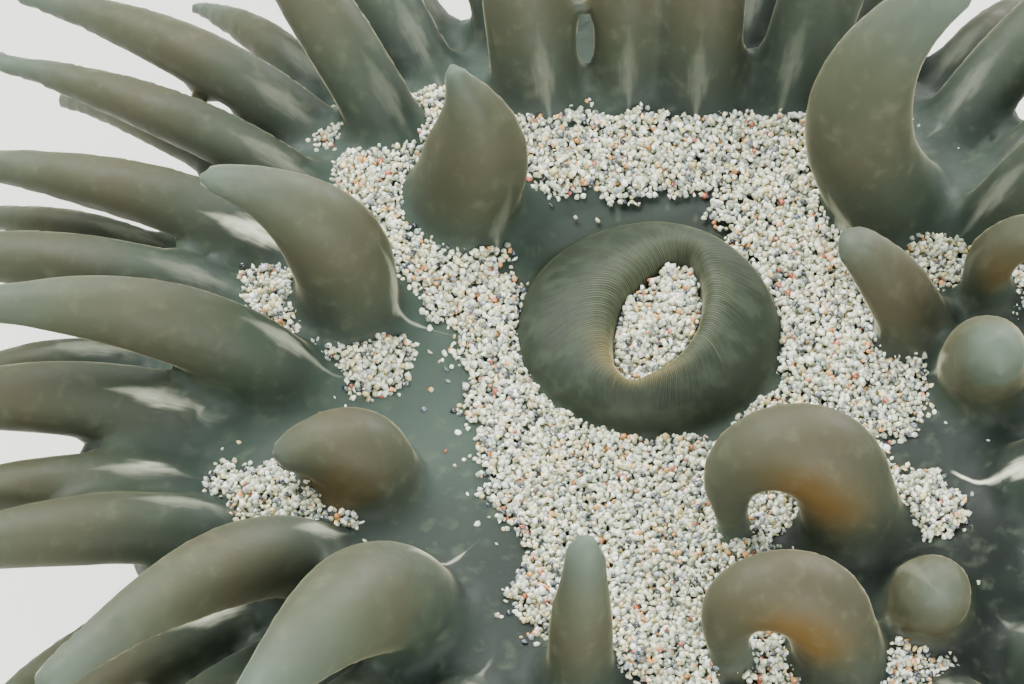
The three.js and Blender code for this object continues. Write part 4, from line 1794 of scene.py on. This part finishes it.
@dataclass(frozen=True)
class Lamp:
    """A square soft lamp, in metres and watts."""

    name: str
    place: tuple[float, float, float]
    size: float
    power: float

    def hang(self, target: Vector) -> None:
        """Makes the lamp and turns it to a target.

        Args:
            target: the place that it lights.
        """
        data = bpy.data.lights.new(self.name, "AREA")
        data.size, data.energy = self.size, self.power
        lamp = bpy.data.objects.new(self.name, data)
        lamp.location = self.place
        lamp.rotation_mode = "QUATERNION"
        lamp.rotation_quaternion = (target - Vector(self.place)).to_track_quat("-Z", "Y")
        bpy.context.scene.collection.objects.link(lamp)


@dataclass(frozen=True)
class Studio:
    """The floor, the lights and the camera."""

    lamps: tuple[Lamp, ...] = (
        Lamp("key", (-0.16, 0.16, 0.36), 0.3, 4.2),
        Lamp("fill", (0.14, -0.34, 0.2), 0.34, 3.2),
        Lamp("rim", (0.18, 0.3, 0.14), 0.2, 2.0),
    )
    lit_point: tuple[float, float, float] = (0.0, 0.0, 0.025)
    sky_colour: str = "#e4ece4"
    sky_strength: float = 1.4
    floor_size: float = 3.0
    view_point: tuple[float, float, float] = (0.0, 2.3, 28.0)
    view_pixel: tuple[float, float] = (650.0, 300.0)
    image: tuple[float, float] = (1024.0, 684.0)
    view_width: float = 38.0
    distance: float = 220.0
    elevation: float = 52.0
    sensor: float = 36.0

    def build(self) -> None:
        """Makes all of the studio."""
        self.floor()
        self.camera()
        self.lights()

    def floor(self) -> None:
        """Lays the floor level with the sole."""
        half = self.floor_size / 2
        corners = np.array([[-half, -half, 0], [half, -half, 0], [half, half, 0], [-half, half, 0]])
        plane = mesh_object("floor", corners, [(0, 1, 2, 3)], scale=1)
        plane.data.materials.append(FloorFinish().material())

    def camera(self) -> None:
        """Sets the camera so that the view point falls on its pixel."""
        data = bpy.data.cameras.new("camera")
        data.sensor_width = self.sensor
        data.lens = self.sensor * self.distance / self.view_width
        data.clip_start = 0.01
        tilt = math.radians(self.elevation)
        back = Vector((0, -math.cos(tilt), math.sin(tilt)))
        right = Vector((1, 0, 0))
        up = back.cross(right)
        pixel = self.view_width / self.image[0]
        aside = (self.view_pixel[0] - self.image[0] / 2) * pixel
        above = (self.view_pixel[1] - self.image[1] / 2) * pixel
        target = Vector(self.view_point) - right * aside + up * above
        camera = bpy.data.objects.new("camera", data)
        bpy.context.scene.collection.objects.link(camera)
        camera.matrix_world = Matrix.Translation((target + back * self.distance) * MM) @ Matrix(
            (right, up, back)
        ).transposed().to_4x4()
        bpy.context.scene.camera = camera

    def lights(self) -> None:
        """Hangs soft lamps round the animal under a pale sky."""
        world = bpy.data.worlds.new("sky")
        world.use_nodes = True
        sky = world.node_tree.nodes["Background"].inputs
        sky["Color"].default_value = linear(self.sky_colour)
        sky["Strength"].default_value = self.sky_strength
        bpy.context.scene.world = world
        for lamp in self.lamps:
            lamp.hang(Vector(self.lit_point))


# ---- Everything ---------------------------------------------------------------------------------


def main() -> None:
    """Builds the skin, the sand and the studio."""
    logging.basicConfig(level=logging.INFO, format="%(message)s")
    body, mouth = Body(), Mouth()
    tentacles = Crown().tentacles(body)
    skin = Skin(body, mouth, Warts(), tentacles).build(sorted(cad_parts))
    LOG.info("%s: %d faces, %d tentacles", skin.name, len(skin.data.polygons), len(tentacles))
    for piece in Sand(body, mouth).build():
        LOG.info("%s: %d faces", piece.name, len(piece.data.polygons))
    Studio().build()


if __name__ == "__main__":
    main()
